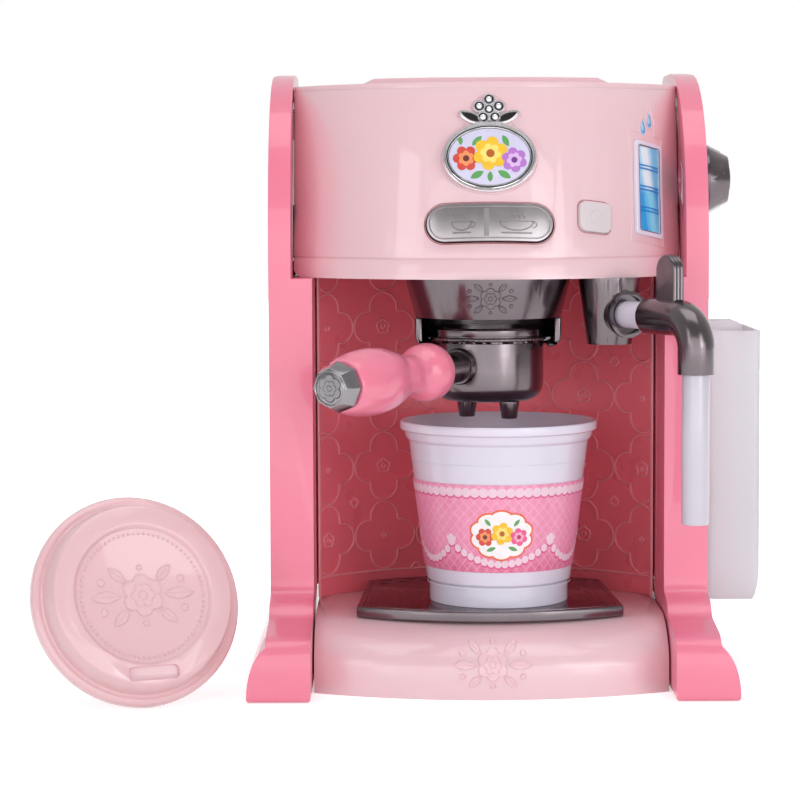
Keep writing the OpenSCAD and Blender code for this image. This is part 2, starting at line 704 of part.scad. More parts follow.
badge_rise = 2.8;
finial_r = 7.2;
finial_up = 6;                  // flower's middle above the oval frame
module on_front_only() difference() {
  children();
  head_round(head_r + 0.02);
}
module flower(r) {
  circle(r * 0.42, $fn = 24);
  for (a = [90:72:449]) rotate(a) translate([r * 0.62, 0]) circle(r * 0.38, $fn = 24);
}
module badge_frame() color("silver") on_front_only() on_head(0, badge_z) {
  difference() {
    translate([0, 0, -4]) linear_extrude(4 + badge_rise) polygon(oval(badge_w, badge_h, 48));
    translate([0, 0, 0.8]) linear_extrude(8) polygon(oval(badge_w - 5, badge_h - 5, 48));
  }
  // flower and two leaves in place of a finial
  translate([0, badge_h / 2 + finial_up, -4]) linear_extrude(4 + badge_rise - 0.6) {
    flower(finial_r);
    for (s = [-1, 1]) translate([s * 7.6, -finial_r / 2]) rotate(s * 24) polygon(oval(12, 4.6, 20));
  }
}
module badge_disc() color("lavender") on_head(0, badge_z) translate([0, 0, 0.8])
  linear_extrude(1.4) polygon(oval(badge_w - 5.2, badge_h - 5.2, 48));

gauge_rim = 2.2;
gauge_rise = 1.4;
module gauge_frame() color("lavender") on_front_only() on_head(gauge_angle, gauge_z) difference() {
  translate([0, 0, -3]) linear_extrude(3 + gauge_rise) soft_rect(gauge_w, gauge_h, 1.6);
  translate([0, 0, -4]) linear_extrude(10) soft_rect(gauge_w - 2 * gauge_rim, gauge_h - 2 * gauge_rim, 1.2);
}
module gauge_tube() color("deepskyblue") on_front_only() on_head(gauge_angle, gauge_z) {
  w = gauge_w - 2 * gauge_rim - 0.2;
  h = gauge_h - 2 * gauge_rim - 0.2;
  tube_mid = gauge_rise - 0.4 - w * 0.75;
  intersection() {
    translate([0, 0, -3]) linear_extrude(8) soft_rect(w, h, 1.1);
    translate([0, h / 2, tube_mid]) rotate([90, 0, 0]) cylinder(r = w * 0.75, h = h);
  }
  for (i = [-1:1]) translate([0, i * h / 4 - 0.6, tube_mid]) rotate([-90, 0, 0]) intersection() {
    cylinder(r = w * 0.75 + 0.5, h = 1.4);
    translate([-w / 2, -w, 0]) cube([w, w, 2]);
  }
}

rocker_rise = rocker_w / 2 * sin(rocker_swing) + 0.16;   // its ends stay proud when pressed
rocker_t = 4.6;
module rocker_button() color("silver") {
  intersection() {
    difference() {
      head_round(head_r + rocker_rise);
      head_round(head_r + rocker_rise - rocker_t);
    }
    on_head(0, rocker_z) translate([0, 0, -12]) linear_extrude(20) stadium(rocker_w, rocker_h);
  }
  on_head(0, rocker_z) {
    translate([-2.6, -rocker_h / 2 + 1, -pin_depth - 2.4]) cube([5.2, rocker_h - 2, pin_depth]);
    translate([0, -rocker_h / 2 - 1 - ear_t, -pin_depth]) rotate([-90, 0, 0])
      cylinder(r = pin_r, h = rocker_h + 2 + 2 * ear_t);
  }
}

// Circuit board: flat, turned a little towards the light button
board_turn = 9;
board_p = head_r - 20;   // from the head's leaning axis to the board
board_w = 84;
board_h = 26;
board_mid = 6;
board_up = head_up(rocker_z, 0);
module board_frame() head_axis() rotate([0, 0, board_turn]) translate([0, -board_p, board_up])
  rotate([90, 0, 0]) children();
board_post_z = board_mid + board_h / 2 - 2.8;
board_post = [for (s = [-1, 1]) [s * (board_w / 2 - 3.4), board_post_z]];
board_post_r = 2.5;

spring_x = 18;
spring_gap = 0.3;
module coil(r, h, turns, d) for (i = [0:turns - 1])
  translate([0, 0, d / 2 + i * (h - d) / (turns - 1)]) rotate_extrude($fn = 24)
    translate([r, 0]) circle(d / 2, $fn = 12);
module spring_stack(r, h) {
  coil(r, h, 5, 0.8);
  for (s = [-1, 1]) translate([s * r - 0.3, -0.3, 0]) cube([0.6, 0.6, h]);
}
rocker_back = head_r + rocker_rise - rocker_t;
rocker_spring_r = 2.6;
module rocker_springs() color("silver") for (s = [-1, 1]) {
  x = -rocker_back * sin(board_turn) + s * spring_x;
  edge = abs(x) + rocker_spring_r + 0.4;
  room = sqrt(rocker_back * rocker_back - edge * edge) - board_p;
  board_frame() translate([x, 0, seam]) spring_stack(rocker_spring_r, room - spring_gap - seam);
}

flange_back = wall + 0.7;
light_flange = 1.5;
light_proud = light_travel + 0.2;
module light_button() color("mistyrose") on_head(light_angle, light_z) {
  translate([0, 0, -flange_back]) linear_extrude(flange_back + light_proud)
    soft_rect(light_w, light_h, light_corner);
  translate([0, 0, -flange_back - light_flange]) linear_extrude(light_flange)
    soft_rect(light_w + 2.6, light_h + 2.4, light_corner);
}
light_back = head_r - flange_back - light_flange;
light_spring_r = 3;
module light_spring() color("silver") {
  a = light_angle - board_turn;
  x = light_back * sin(a);
  room = (light_back - (x + light_spring_r + 0.4) * sin(a)) / cos(a) - board_p;
  board_frame() translate([x, head_up(light_z, light_angle) - board_up, seam])
    spring_stack(light_spring_r, room - spring_gap - seam);
}

board_t = 1.6;
chips = [[-24, 9, 12, 5, 2.2], [6, 2, 9, 9, 1.8]];  // place, size and height of each
can_h = 8;
can_r = 2.4;
can_place = [[24, 11], [30, 11]];
module circuit_board() color("seagreen") board_frame() {
  translate([0, board_mid, -board_t]) linear_extrude(board_t) soft_rect(board_w, board_h, 1.5);
  for (c = chips) translate([c[0], c[1], -board_t - c[4]]) cube([c[2], c[3], c[4] + 0.01]);
  for (c = can_place) translate([c[0], c[1], -board_t - can_h])
    cylinder(r = can_r, h = can_h + 0.01, $fn = 24);
}

module speaker() color("dimgray") translate([0, cover_y - wall - seam, speaker_z]) rotate([90, 0, 0]) {
  cylinder(r = speaker_r, h = speaker_rim);
  translate([0, 0, speaker_rim - 0.01])
    cylinder(r1 = speaker_r - speaker_rim, r2 = magnet_r, h = speaker_deep);
  translate([0, 0, speaker_rim + speaker_deep - 0.02]) cylinder(r = magnet_r, h = speaker_deep);
}

// ---- Steam knob on the right panel ----

module knob_axis() translate([body_w / 2, knob_y, knob_z]) rotate([0, 90, 0]) children();
module steam_knob() color("silver") knob_axis() difference() {
  union() {
    translate([0, 0, slide_fit]) cylinder(r = knob_d / 2 - 1.2, h = 2);
    translate([0, 0, slide_fit + 1.9])
      cylinder(r1 = knob_d / 2, r2 = knob_d / 2 - 3, h = knob_l * 0.5, $fn = 12);
    translate([0, 0, slide_fit + 1.9 + knob_l * 0.5 - 0.01])
      cylinder(r1 = knob_d / 2 - 3.4, r2 = knob_d / 2 - 5, h = knob_l * 0.5 - 2.9);
    translate([0, 0, -knob_wall - slide_fit]) cylinder(r = shaft_r, h = knob_wall + 3);
  }
  translate([0, 0, slide_fit + knob_l - 3]) cylinder(r = 7.6, h = 10);
  translate([0, 0, -10]) cylinder(r = 1.3, h = 15);
}
module knob_cap() color("silver") knob_axis() translate([0, 0, slide_fit + knob_l - 3])
  cylinder(r1 = 7.5, r2 = 5.8, h = 3, $fn = 48);
module knob_screw() color("silver") knob_axis() {
  translate([0, 0, -knob_wall - slide_fit - 1.6]) cylinder(r = 6.6, h = 1.6);
  translate([0, 0, -knob_wall - slide_fit - 0.01]) cylinder(r = 1.2, h = 7);
}

// ---- Base ----

base_cy = base_y + base_r;
shoulder = 26;
function base_profile(in) = concat(
  [[base_r - 200, in > 0 ? -1 : 0], [base_r - in, in > 0 ? -1 : 0]],
  bez([base_r - in, base_h - 17 - in * 0.3], [base_r - 1 - in, base_h - 10 - in * 0.7],
      [base_r - shoulder * 0.46 - in * 0.4, base_h - 1.5 - in],
      [base_r - shoulder - in * 0.2, base_h - in], 8),
  [[base_r - 200, base_h - in]]);
module base_form(in) intersection() {
  translate([0, base_cy, 0]) rotate_extrude($fn = 180) intersection() {
    polygon(base_profile(in));
    translate([0, -10]) square([big, 100]);
  }
  translate([-base_half + in, -big / 2, -5]) cube([2 * (base_half - in), big / 2 + cover_y - in, 60]);
}
post_in = base_half - 11.3;
front_post_y = face_y - 11;
rear_post_y = back_y - 25;
bottom_post = [for (y = [front_post_y, rear_post_y], s = [-1, 1]) [s * post_in, y]];
bottom_screw_l = 9;
bottom_screw_h = 1.1;
pilot_l = 20;
module base_shell() color("pink") difference() {
  union() {
    difference() {
      base_form(0);
      base_form(wall);
    }
    for (p = bottom_post) translate([p[0], p[1], bottom_t])
      cylinder(r = 4, h = base_h - wall / 2 - bottom_t);
    for (s = [-1, 1]) translate([s * low_post_x - 5, cover_y - wall - seam - 14, base_h - 0.01])
      cube([10, 14, low_post_z - base_h + 5]);
  }
  for (p = bottom_post) translate([p[0], p[1], 0]) cylinder(r = 1.3, h = pilot_l);
  for (s = [-1, 1]) translate([s * low_post_x, cover_y - pilot_l, low_post_z]) rotate([-90, 0, 0])
    cylinder(r = 1.3, h = 2 * pilot_l);
}

bottom_t = 2.2;
door_w = 64;
door_l = 58;
door_y = 14;
box_h = 20;             // height of the battery box
module bottom_cover() color("lightpink") difference() {
  union() {
    intersection() {
      base_form(wall + seam);
      translate([-big / 2, -big / 2, 0]) cube([big, big, bottom_t]);
    }
    // battery box walls
    difference() {
      translate([-door_w / 2 - 2, door_y - door_l / 2 - 2, 0]) cube([door_w + 4, door_l + 4, box_h]);
      translate([-door_w / 2 + 2, door_y - door_l / 2 + 2, -1]) cube([door_w - 4, door_l - 4, box_h - 0.8]);
    }
  }
  translate([-door_w / 2, door_y - door_l / 2, -1]) cube([door_w, door_l, bottom_t + 1]);
  for (p = bottom_post) translate([p[0], p[1], 0]) cylinder(r = 1.7, h = pilot_l);
  for (p = bottom_post) translate([p[0], p[1], -1]) cylinder(r = screw_head_r + seam, h = 2.2);
}

module battery_door() color("lightpink") difference() {
  translate([-door_w / 2 + slide_fit, door_y - door_l / 2 + slide_fit, 0])
    cube([door_w - 2 * slide_fit, door_l - 2 * slide_fit, bottom_t]);
  for (i = [-1:1]) translate([-8, door_y + door_l / 2 - 8 + 2.4 * i, -1]) cube([16, 1, 1.6]);
}

cell_r = 7.1;
cell_l = 50;
cell_z = bottom_t + cell_r + 0.1;
cell_step = 2 * cell_r + 3;
contact_w = 10;
module battery_cells() color("gold") for (i = [-1:1])
  translate([-cell_l / 2, door_y + i * cell_step, cell_z]) rotate([0, 90, 0]) {
    cylinder(r = cell_r, h = cell_l);
    translate([0, 0, i == 0 ? -1 : cell_l - 0.01]) cylinder(r = 2.6, h = 1.01);
  }
module battery_contacts() color("silver") for (i = [-1:1], s = [-1, 1])
  translate([s * (door_w / 2 - 2.5) - 0.5, door_y + i * cell_step - contact_w / 2, cell_z - contact_w / 2]) {
    cube([1, contact_w, contact_w]);
    translate([s > 0 ? 0 : 1, contact_w / 2, contact_w / 2]) rotate([0, s > 0 ? -90 : 90, 0])
      cylinder(r1 = 4, r2 = 2, h = door_w / 2 - 3 - cell_l / 2 - 1.1);
  }

module bottom_screws() color("silver") for (p = bottom_post)
  translate([p[0], p[1], 1.2]) rotate([180, 0, 0]) screw(bottom_screw_l, bottom_screw_h);

// ---- Drip tray ----

tray_z = base_h + slide_fit;
tray_top = tray_z + tray_t;
tray_front_r = 112;
tray_reach = 30;
tray_front_y = face_y - tray_reach;
tray_lean = 4;          // how much nearer each side stands at the back
module tray_outline(in) intersection() {
  translate([0, tray_front_y + tray_front_r]) circle(tray_front_r - in, $fn = 180);
  translate([0, wall_cy]) circle(wall_r - 1.6 - in, $fn = 180);
  polygon([[-tray_w / 2 + in, tray_front_y], [tray_w / 2 - in, tray_front_y],
           [tray_w / 2 - in - tray_lean, wall_edge_y], [tray_w / 2 - in - 2 * tray_lean, wall_edge_y + 60],
           [-tray_w / 2 + in + 2 * tray_lean, wall_edge_y + 60],
           [-tray_w / 2 + in + tray_lean, wall_edge_y]]);
}
rim_w = 3;
module drip_tray() color("gray") difference() {
  translate([0, 0, tray_z]) linear_extrude(tray_t) tray_outline(0);
  translate([0, 0, tray_z + 1.6]) linear_extrude(tray_t) tray_outline(rim_w);
}
grille_t = 1.6;
slot_rows = [8.5, 14.5];    // distances of the rows of slots from the wall
slot_l = 6.5;
slot_step = 13;             // pitch along a row
drain_w = 1.6;
foot_x = tray_w / 2 - 15;   // the grille's four feet
foot_ys = [brew_y - 10, brew_y + 38];
module tray_grille() color("silver") translate([0, 0, tray_top - grille_t]) {
  difference() {
    linear_extrude(grille_t) tray_outline(rim_w + seam);
    for (k = [0, 1], i = [-4:4]) translate([0, wall_cy, -1])
      rotate([0, 0, (i + k / 2) * slot_step / wall_r * 180 / PI])
        translate([0, wall_r - slot_rows[k], 0]) linear_extrude(grille_t + 2) stadium(slot_l, drain_w);
  }
  for (x = [-foot_x, foot_x], y = foot_ys) translate([x, y, -(tray_t - grille_t - 1.6)])
    cylinder(r = 2, h = tray_t - grille_t - 1.6);
}

// ---- Cup, sleeve and lid ----

cup_x = 4.6;
cup_z = tray_top;
cup_rim_z = cup_z + cup_h;
step_z = 10;          // step-in near the foot
cup_r1 = cup_d1 / 2 - 3.5;
cup_r2 = cup_d2 / 2;
// Outer radius of the tapered wall at height h above the foot
function cup_r(h) = cup_r2 + 1.2 + (cup_r1 - cup_r2 - 1.2) * (h - step_z) / (cup_h - step_z - 6);
module cup() color("lavender") translate([cup_x, brew_y, cup_z]) rotate_extrude($fn = 96)
  polygon([
    [0, 1], [cup_r2 - 2, 1], [cup_r2 - 2.4, 0], [cup_r2, 0],
    [cup_r(step_z) - 1.2, step_z - 0.6], [cup_r(step_z), step_z],
    [cup_r(cup_h - 9), cup_h - 9], [cup_r(cup_h - 9) + 1.2, cup_h - 8],
    [cup_d1 / 2 - 1.6, cup_h - 4.4], [cup_d1 / 2, cup_h - 4], [cup_d1 / 2, cup_h - 0.8],
    [cup_d1 / 2 - 0.8, cup_h], [cup_d1 / 2 - 1.6, cup_h - 0.8],
    [cup_r(cup_h - 9) + 1.2 - cup_t, cup_h - 6],
    [cup_r(step_z) - cup_t, step_z + 0.6], [cup_r2 - cup_t, 2.6], [0, 2.6]]);

sleeve_lo = 16.2;
sleeve_hi = 55.2;
module cup_sleeve() color("hotpink") translate([cup_x, brew_y, cup_z]) rotate_extrude($fn = 96)
  polygon([[cup_r(sleeve_lo) + 0.03, sleeve_lo], [cup_r(sleeve_lo) + 0.4, sleeve_lo],
           [cup_r(sleeve_hi) + 0.4, sleeve_hi], [cup_r(sleeve_hi) + 0.03, sleeve_hi]]);

lid_r = lid_d / 2;
lid_wall = 1.6;
lid_turn = 24;
lid_x = -body_w / 2 - lid_r - 10.5;
lid_y = brew_y - 55;
plate_r = lid_r - 16;   // sunken disc inside the plateau
plate_sink = 1.8;
sip_r = lid_r - 12;     // middle of the drinking recess
sip_w = 22;
sip_h = 6;
lid_edge = 0.6;         // bevel under the rim, on which the lid stands
// Rim edge at h = 0, plateau at h = lid_h
module lid_section() polygon([
  [lid_r - 1.6, 0], [lid_r, lid_edge], [lid_r, 3.4], [lid_r - 0.8, 4.6],
  [lid_r - 2.4, 5.2], [lid_r - 3.8, 4.6], [lid_r - 4.6, 5.2], [lid_r - 6.4, lid_h - 1.6],
  [lid_r - 7, lid_h - 0.5], [lid_r - 8.2, lid_h],
  [plate_r + 0.8, lid_h], [plate_r, lid_h - 0.6], [plate_r - 0.7, lid_h - plate_sink],
  [0, lid_h - plate_sink], [0, lid_h - plate_sink - lid_wall],
  [plate_r + 0.6, lid_h - plate_sink - lid_wall], [plate_r + 1.4, lid_h - lid_wall],
  [lid_r - 8.8, lid_h - lid_wall], [lid_r - 8.2, lid_h - 2.6],
  [lid_r - 6.4, 4], [lid_r - 1.6, 2.8]]);
lid_z = lid_r * cos(lid_lean) - lid_edge * sin(lid_lean);
module lid_frame() translate([lid_x, lid_y, lid_z]) rotate([0, 0, lid_turn])
  rotate([90 - lid_lean, 0, 0]) children();
module cup_lid() color("pink") lid_frame() difference() {
  rotate_extrude($fn = 96) lid_section();
  // drinking recess near the lower rim
  translate([0, -sip_r, lid_h - 1]) linear_extrude(2) soft_rect(sip_w, sip_h, 1.6);
}

// ---- Water tank and the rail it hangs on ----

tank_y = brew_y + 42;
tank_t = 1.8;
rail_z0 = tank_z + 88;
rail_h = 28;
rail_head = 15;
rail_stem = 7;
rail_screw = 8;
rail_pin_r = 1.5;
tank_in = body_w / 2 + seam + 0.1;
module rail_frame() translate([body_w / 2, tank_y, rail_z0 + rail_h / 2]) children();
module tank_rail() color("hotpink") rail_frame() {
  translate([0, -rail_stem / 2, -rail_h / 2]) cube([4.4, rail_stem, rail_h]);
  translate([2.4, -rail_head / 2, -rail_h / 2]) cube([2, rail_head, rail_h]);
  for (s = [-1, 1]) translate([-6, 0, s * rail_screw]) rotate([0, 90, 0]) cylinder(r = rail_pin_r, h = 6.01);
}

slot_d = 4.4 + 2 * slide_fit;
hook_w = 20.2;
hook_up = 3.4;          // how far the hook block stands above the rim
module tank_slot() translate([tank_in - 1, 0, 0]) {
  // wide channel below, narrow mouth beside the rail
  translate([0, tank_y - rail_head / 2 - slide_fit, tank_z - 1])
    cube([slot_d + 1, rail_head + 2 * slide_fit, rail_z0 - tank_z + 1]);
  translate([0, tank_y - rail_stem / 2 - slide_fit, rail_z0 - 1])
    cube([slot_d + 1, rail_stem + 2 * slide_fit, rail_h + 1 + slide_fit]);
  translate([1 + 2.4 - tank_in + body_w / 2 - slide_fit, tank_y - rail_head / 2 - slide_fit, rail_z0 - 1])
    cube([2 + 2 * slide_fit, rail_head + 2 * slide_fit, rail_h + 1 + slide_fit]);
}
module tank_plan(in) translate([tank_in + tank_w / 2, tank_y])
  soft_rect(tank_w - 2 * in, tank_l - 2 * in, 3 - in / 2);
// The outer wall leans in below, down to the floor of the tank
tank_taper = 2.6;
tank_taper_h = 18;
module tank_form(in, up) intersection() {
  translate([0, 0, tank_z + in]) linear_extrude(tank_h + up) tank_plan(in);
  along_y(tank_y - tank_l, tank_y + tank_l) translate([tank_in, tank_z])
    polygon(concat([[0, -1], [tank_w - in - tank_taper - 1, -1]],
      bez([tank_w - in - tank_taper - 0.8, 0], [tank_w - in - tank_taper + 0.8, 1.5],
          [tank_w - in, 7], [tank_w - in, tank_taper_h], 6),
      [[tank_w - in, tank_h + 10], [0, tank_h + 10]]));
}
module water_tank() color("lavender", 0.7) difference() {
  union() {
    difference() {
      tank_form(0, 0);
      tank_form(tank_t, 5);
    }
    translate([tank_in, tank_y - rail_head / 2 - 2.6, tank_z])
      cube([slot_d + 2, rail_head + 5.2, rail_z0 + rail_h + 2 - tank_z]);
    along_y(tank_y - rail_head / 2 - 2.6, tank_y + rail_head / 2 + 2.6)
      translate([tank_in, rail_z0 + rail_h + 1.9])
        soft_rect_corner(hook_w, tank_z + tank_h + hook_up - rail_z0 - rail_h - 1.9, 4);
  }
  tank_slot();
}

// ---- Show ----

base_shell();
bottom_cover();
battery_door();
battery_cells();
battery_contacts();
left_panel();
right_panel();
head_shell();
top_cover();
head_floor();
back_wall();
rear_cover();
brew_head();
brew_head_nut();
lock_collar();
steam_head();
steam_head_nut();
badge_frame();
badge_disc();
gauge_frame();
gauge_tube();
circuit_board();
speaker();
rear_screws();
bottom_screws();
rocker_button();
rocker_springs();
light_button();
light_spring();
steam_knob();
knob_cap();
knob_screw();
power_switch();
filter_basket();
portafilter_bowl();
bead_ring();
portafilter_spouts();
handle_stub();
handle_grip();
handle_cap();
steam_tube();
steam_elbow();
steam_wand();
drip_tray();
tray_grille();
cup();
cup_sleeve();
cup_lid();
water_tank();
tank_rail();
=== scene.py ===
"""The visible model of a toy coffee maker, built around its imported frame.

The frame is in metres. Seen from the front, +X is right, +Y is away and +Z is up.
Designs are drawn in millimetres on the surfaces that they lie on, and MM turns them into metres.
"""

import json
import math
from itertools import groupby

import bmesh
import bpy
from mathutils import Matrix, Vector
from mathutils.bvhtree import BVHTree


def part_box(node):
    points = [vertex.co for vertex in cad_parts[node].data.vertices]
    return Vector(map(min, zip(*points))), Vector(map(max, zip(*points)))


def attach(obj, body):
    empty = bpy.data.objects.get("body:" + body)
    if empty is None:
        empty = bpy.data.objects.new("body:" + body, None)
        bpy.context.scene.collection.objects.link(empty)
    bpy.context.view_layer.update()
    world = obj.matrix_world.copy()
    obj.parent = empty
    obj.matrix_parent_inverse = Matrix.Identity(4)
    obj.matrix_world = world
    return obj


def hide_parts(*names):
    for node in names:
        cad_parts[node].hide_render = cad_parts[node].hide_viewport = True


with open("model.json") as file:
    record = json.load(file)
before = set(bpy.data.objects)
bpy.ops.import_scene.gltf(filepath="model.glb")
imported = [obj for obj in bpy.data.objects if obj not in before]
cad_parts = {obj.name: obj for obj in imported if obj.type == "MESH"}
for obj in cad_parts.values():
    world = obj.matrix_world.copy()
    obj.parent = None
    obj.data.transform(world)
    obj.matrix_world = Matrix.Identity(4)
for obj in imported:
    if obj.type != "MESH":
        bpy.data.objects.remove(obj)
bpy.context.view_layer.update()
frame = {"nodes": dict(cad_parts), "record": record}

MM = 0.001
BODY_OF = {n: body for body, nodes in frame["record"]["behaviour"]["bodies"].items() for n in nodes}
SLOT_OF = {s["node"]: s["material_slot"] for s in frame["record"]["subparts"]}


# ---- Materials ----

FLOW = 9                                # scale of the flow marks in moulded plastic
GRAIN = 1400                            # scale of its skin
SOFT_RADIUS = (0.008, 0.0015, 0.002)    # how far red, green and blue light spread in it


def srgb(r, g, b):
    """An sRGB colour of 0 to 255 as linear RGBA."""
    def linear(c):
        c /= 255
        return c / 12.92 if c <= 0.04045 else ((c + 0.055) / 1.055) ** 2.4
    return (linear(r), linear(g), linear(b), 1.0)


def scaled(colour, k):
    """The colour, k times as bright."""
    return tuple(min(1.0, c * k) for c in colour[:3]) + (1.0,)


class Nodes:
    """A small helper that adds and joins the nodes of one material."""

    def __init__(self, name):
        self.material = bpy.data.materials.new(name)
        self.material.use_nodes = True
        self.tree = self.material.node_tree
        self.shader = self.tree.nodes["Principled BSDF"]
        self.place = self.tree.nodes.new("ShaderNodeTexCoord").outputs["Object"]

    def add(self, kind, inputs=None, **settings):
        node = self.tree.nodes.new(kind)
        for key, value in settings.items():
            setattr(node, key, value)
        for key, value in (inputs or {}).items():
            if isinstance(value, bpy.types.NodeSocket):
                self.tree.links.new(value, node.inputs[key])
            else:
                node.inputs[key].default_value = value
        return node

    def math(self, operation, a, b=0.0):
        return self.add("ShaderNodeMath", {0: a, 1: b}, operation=operation).outputs[0]

    def noise(self, scale, detail=2.0, stretch=(1, 1, 1)):
        mapping = self.add("ShaderNodeMapping", {"Vector": self.place, "Scale": stretch})
        return self.add("ShaderNodeTexNoise", {"Vector": mapping.outputs[0], "Scale": scale,
                                               "Detail": detail}).outputs["Fac"]

    def ramp(self, factor, low, high, start=0.35, end=0.65):
        node = self.add("ShaderNodeValToRGB", {"Fac": factor})
        node.color_ramp.elements[0].position = start
        node.color_ramp.elements[0].color = low
        node.color_ramp.elements[1].position = end
        node.color_ramp.elements[1].color = high
        return node.outputs["Color"]

    def mix(self, factor, a, b):
        node = self.add("ShaderNodeMix", data_type="RGBA")
        for socket, value in ((node.inputs[0], factor), (node.inputs[6], a), (node.inputs[7], b)):
            if isinstance(value, bpy.types.NodeSocket):
                self.tree.links.new(value, socket)
            else:
                socket.default_value = value
        return node.outputs[2]

    def rough(self, low, high, scale=60):
        node = self.add("ShaderNodeMapRange", {"Value": self.noise(scale), "From Min": 0.3, "From Max": 0.7,
                                               "To Min": low, "To Max": high})
        self.link(node.outputs["Result"], "Roughness")

    def bump(self, height, strength, distance):
        node = self.add("ShaderNodeBump", {"Height": height, "Strength": strength, "Distance": distance})
        self.link(node.outputs["Normal"], "Normal")

    def link(self, output, name):
        self.tree.links.new(output, self.shader.inputs[name])

    def set(self, **values):
        for name, value in values.items():
            self.shader.inputs[name.replace("_", " ")].default_value = value


def moulded(name, colour, low=0.34, high=0.4, coat=0.8, coat_rough=0.035, soft=0.18, grain=0.02,
            shade=0.975):
    """Injection-moulded plastic: faint flow marks in its colour, a fine skin, a glossy coat."""
    n = Nodes(name)
    n.link(n.ramp(n.noise(FLOW, 3), scaled(colour, shade), colour, 0.3, 0.7), "Base Color")
    n.rough(low, high)
    n.bump(n.noise(GRAIN, 1), grain, 0.0002)
    n.set(Coat_Weight=coat, Coat_Roughness=coat_rough, IOR=1.5, Subsurface_Weight=soft,
          Subsurface_Radius=SOFT_RADIUS, Subsurface_Scale=1.0)
    return n.material


def wall_plastic(name, colour):
    """The back wall's plastic, less glossy than the housing's and grainier."""
    return moulded(name, colour, 0.26, 0.34, coat=0.25, coat_rough=0.12, soft=0.12, grain=0.04, shade=0.96)


def silver_paint(name, colour, low=0.18, high=0.27):
    """Silver paint on plastic: fine flakes and soft streaks over a grey ground."""
    n = Nodes(name)
    flakes = n.noise(2600, 1)
    streaks = n.noise(55, 3, (1, 1, 0.25))
    ground = n.ramp(streaks, scaled(colour, 0.86), scaled(colour, 1.1), 0.3, 0.7)
    n.link(n.mix(n.math("MULTIPLY", flakes, 0.3), ground, scaled(colour, 1.3)), "Base Color")
    n.rough(low, high, 90)
    n.bump(flakes, 0.04, 0.0001)
    n.set(Metallic=1.0, Coat_Weight=0.35, Coat_Roughness=0.07, IOR=1.5)
    return n.material


def plated(name, colour):
    """Vacuum plating over plastic, with faint ripples."""
    n = Nodes(name)
    n.link(n.ramp(n.noise(40, 2), scaled(colour, 0.93), colour), "Base Color")
    n.rough(0.16, 0.21)
    n.bump(n.noise(160, 2), 0.05, 0.0004)
    n.set(Metallic=1.0, IOR=1.5)
    return n.material


def ink(name, colour, rough=0.34):
    """Printed ink under a thin gloss."""
    n = Nodes(name)
    n.link(n.ramp(n.noise(300, 3), scaled(colour, 0.93), colour), "Base Color")
    n.rough(rough, rough + 0.06, 200)
    n.set(Coat_Weight=0.2, Coat_Roughness=0.15, IOR=1.48)
    return n.material


def milky(name, colour):
    """Milky see-through plastic."""
    n = Nodes(name)
    n.link(n.ramp(n.noise(10, 2), scaled(colour, 0.97), colour), "Base Color")
    n.rough(0.28, 0.36)
    n.bump(n.noise(900, 1), 0.04, 0.0002)
    n.set(Transmission_Weight=0.5, IOR=1.2, Coat_Weight=0.2, Coat_Roughness=0.15,
          Subsurface_Weight=0.2, Subsurface_Radius=(0.01, 0.01, 0.01))
    return n.material


# By slot. Pieces in the slots print and gauge_blue are given other materials, and pink_relief
# and wall_line_shade_and_highlight are for raised lines.
PINK = srgb(236, 196, 203)
MATERIALS = {
    "light_pink": moulded("light_pink", PINK),
    "pink_relief": moulded("pink_relief", PINK, soft=0.0),
    "hot_pink": moulded("hot_pink", srgb(238, 126, 154)),
    # The back wall is the housing's light pink plastic: its deep coral colour is painted shade, the reddened
    # bounce light of the bay, and its raised lines are drawn lighter, a painted highlight.
    "wall_pink": wall_plastic("wall_pink", srgb(255, 124, 138)),
    "wall_line_shade_and_highlight": wall_plastic("wall_line_shade_and_highlight", srgb(255, 158, 170)),
    "silver": silver_paint("silver", srgb(112, 103, 107)),
    "plated": plated("plated", srgb(238, 237, 240)),
    "lavender": moulded("lavender", srgb(226, 219, 235), soft=0.1),
    "button_pink": moulded("button_pink", srgb(215, 203, 207), low=0.34, high=0.42, coat=0.1, soft=0.1),
    "tank": milky("tank", srgb(250, 250, 255)),
    "steel": silver_paint("steel", srgb(190, 190, 194), 0.25, 0.35),
    "cell_wrap": ink("cell_wrap", srgb(52, 54, 60), 0.25),
    "board": ink("board", srgb(34, 112, 66), 0.35),
    "dark": moulded("dark", srgb(34, 32, 34), low=0.45, high=0.6, coat=0.0, soft=0.0),
}


# ---- Mesh helpers ----

SHARP = math.radians(35)        # edges that turn more than this stay sharp
WELD = 3e-6                     # metres between corners of a CAD mesh that are one
FLAT = math.radians(0.8)        # faces that turn less than this are one


def new_object(name, bm):
    """An object made of a bmesh, which is freed."""
    mesh = bpy.data.meshes.new(name)
    bm.to_mesh(mesh)
    bm.free()
    made = bpy.data.objects.new(name, mesh)
    bpy.context.scene.collection.objects.link(made)
    return made


def finish_piece(piece, node, material):
    """Shades a piece and has it ride on the body of a CAD node."""
    body = BODY_OF[node]
    mesh = piece.data
    mesh.materials.clear()
    mesh.materials.append(material or MATERIALS[SLOT_OF[node]])
    mesh.polygons.foreach_set("use_smooth", [True] * len(mesh.polygons))
    mesh.set_sharp_from_angle(angle=SHARP)
    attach(piece, body)


def make(name, bm, node, material=None):
    """A new piece on a CAD node, with the node's material unless it is given another."""
    bmesh.ops.recalc_face_normals(bm, faces=bm.faces)
    finish_piece(new_object(name, bm), node, material)


def cleaned(node):
    """A bmesh of a CAD node with its seams welded and its flat faces joined."""
    bm = bmesh.new()
    bm.from_mesh(frame["nodes"][node].data)
    bmesh.ops.remove_doubles(bm, verts=bm.verts, dist=WELD)
    bmesh.ops.dissolve_limit(bm, angle_limit=FLAT, verts=bm.verts, edges=bm.edges)
    return bm


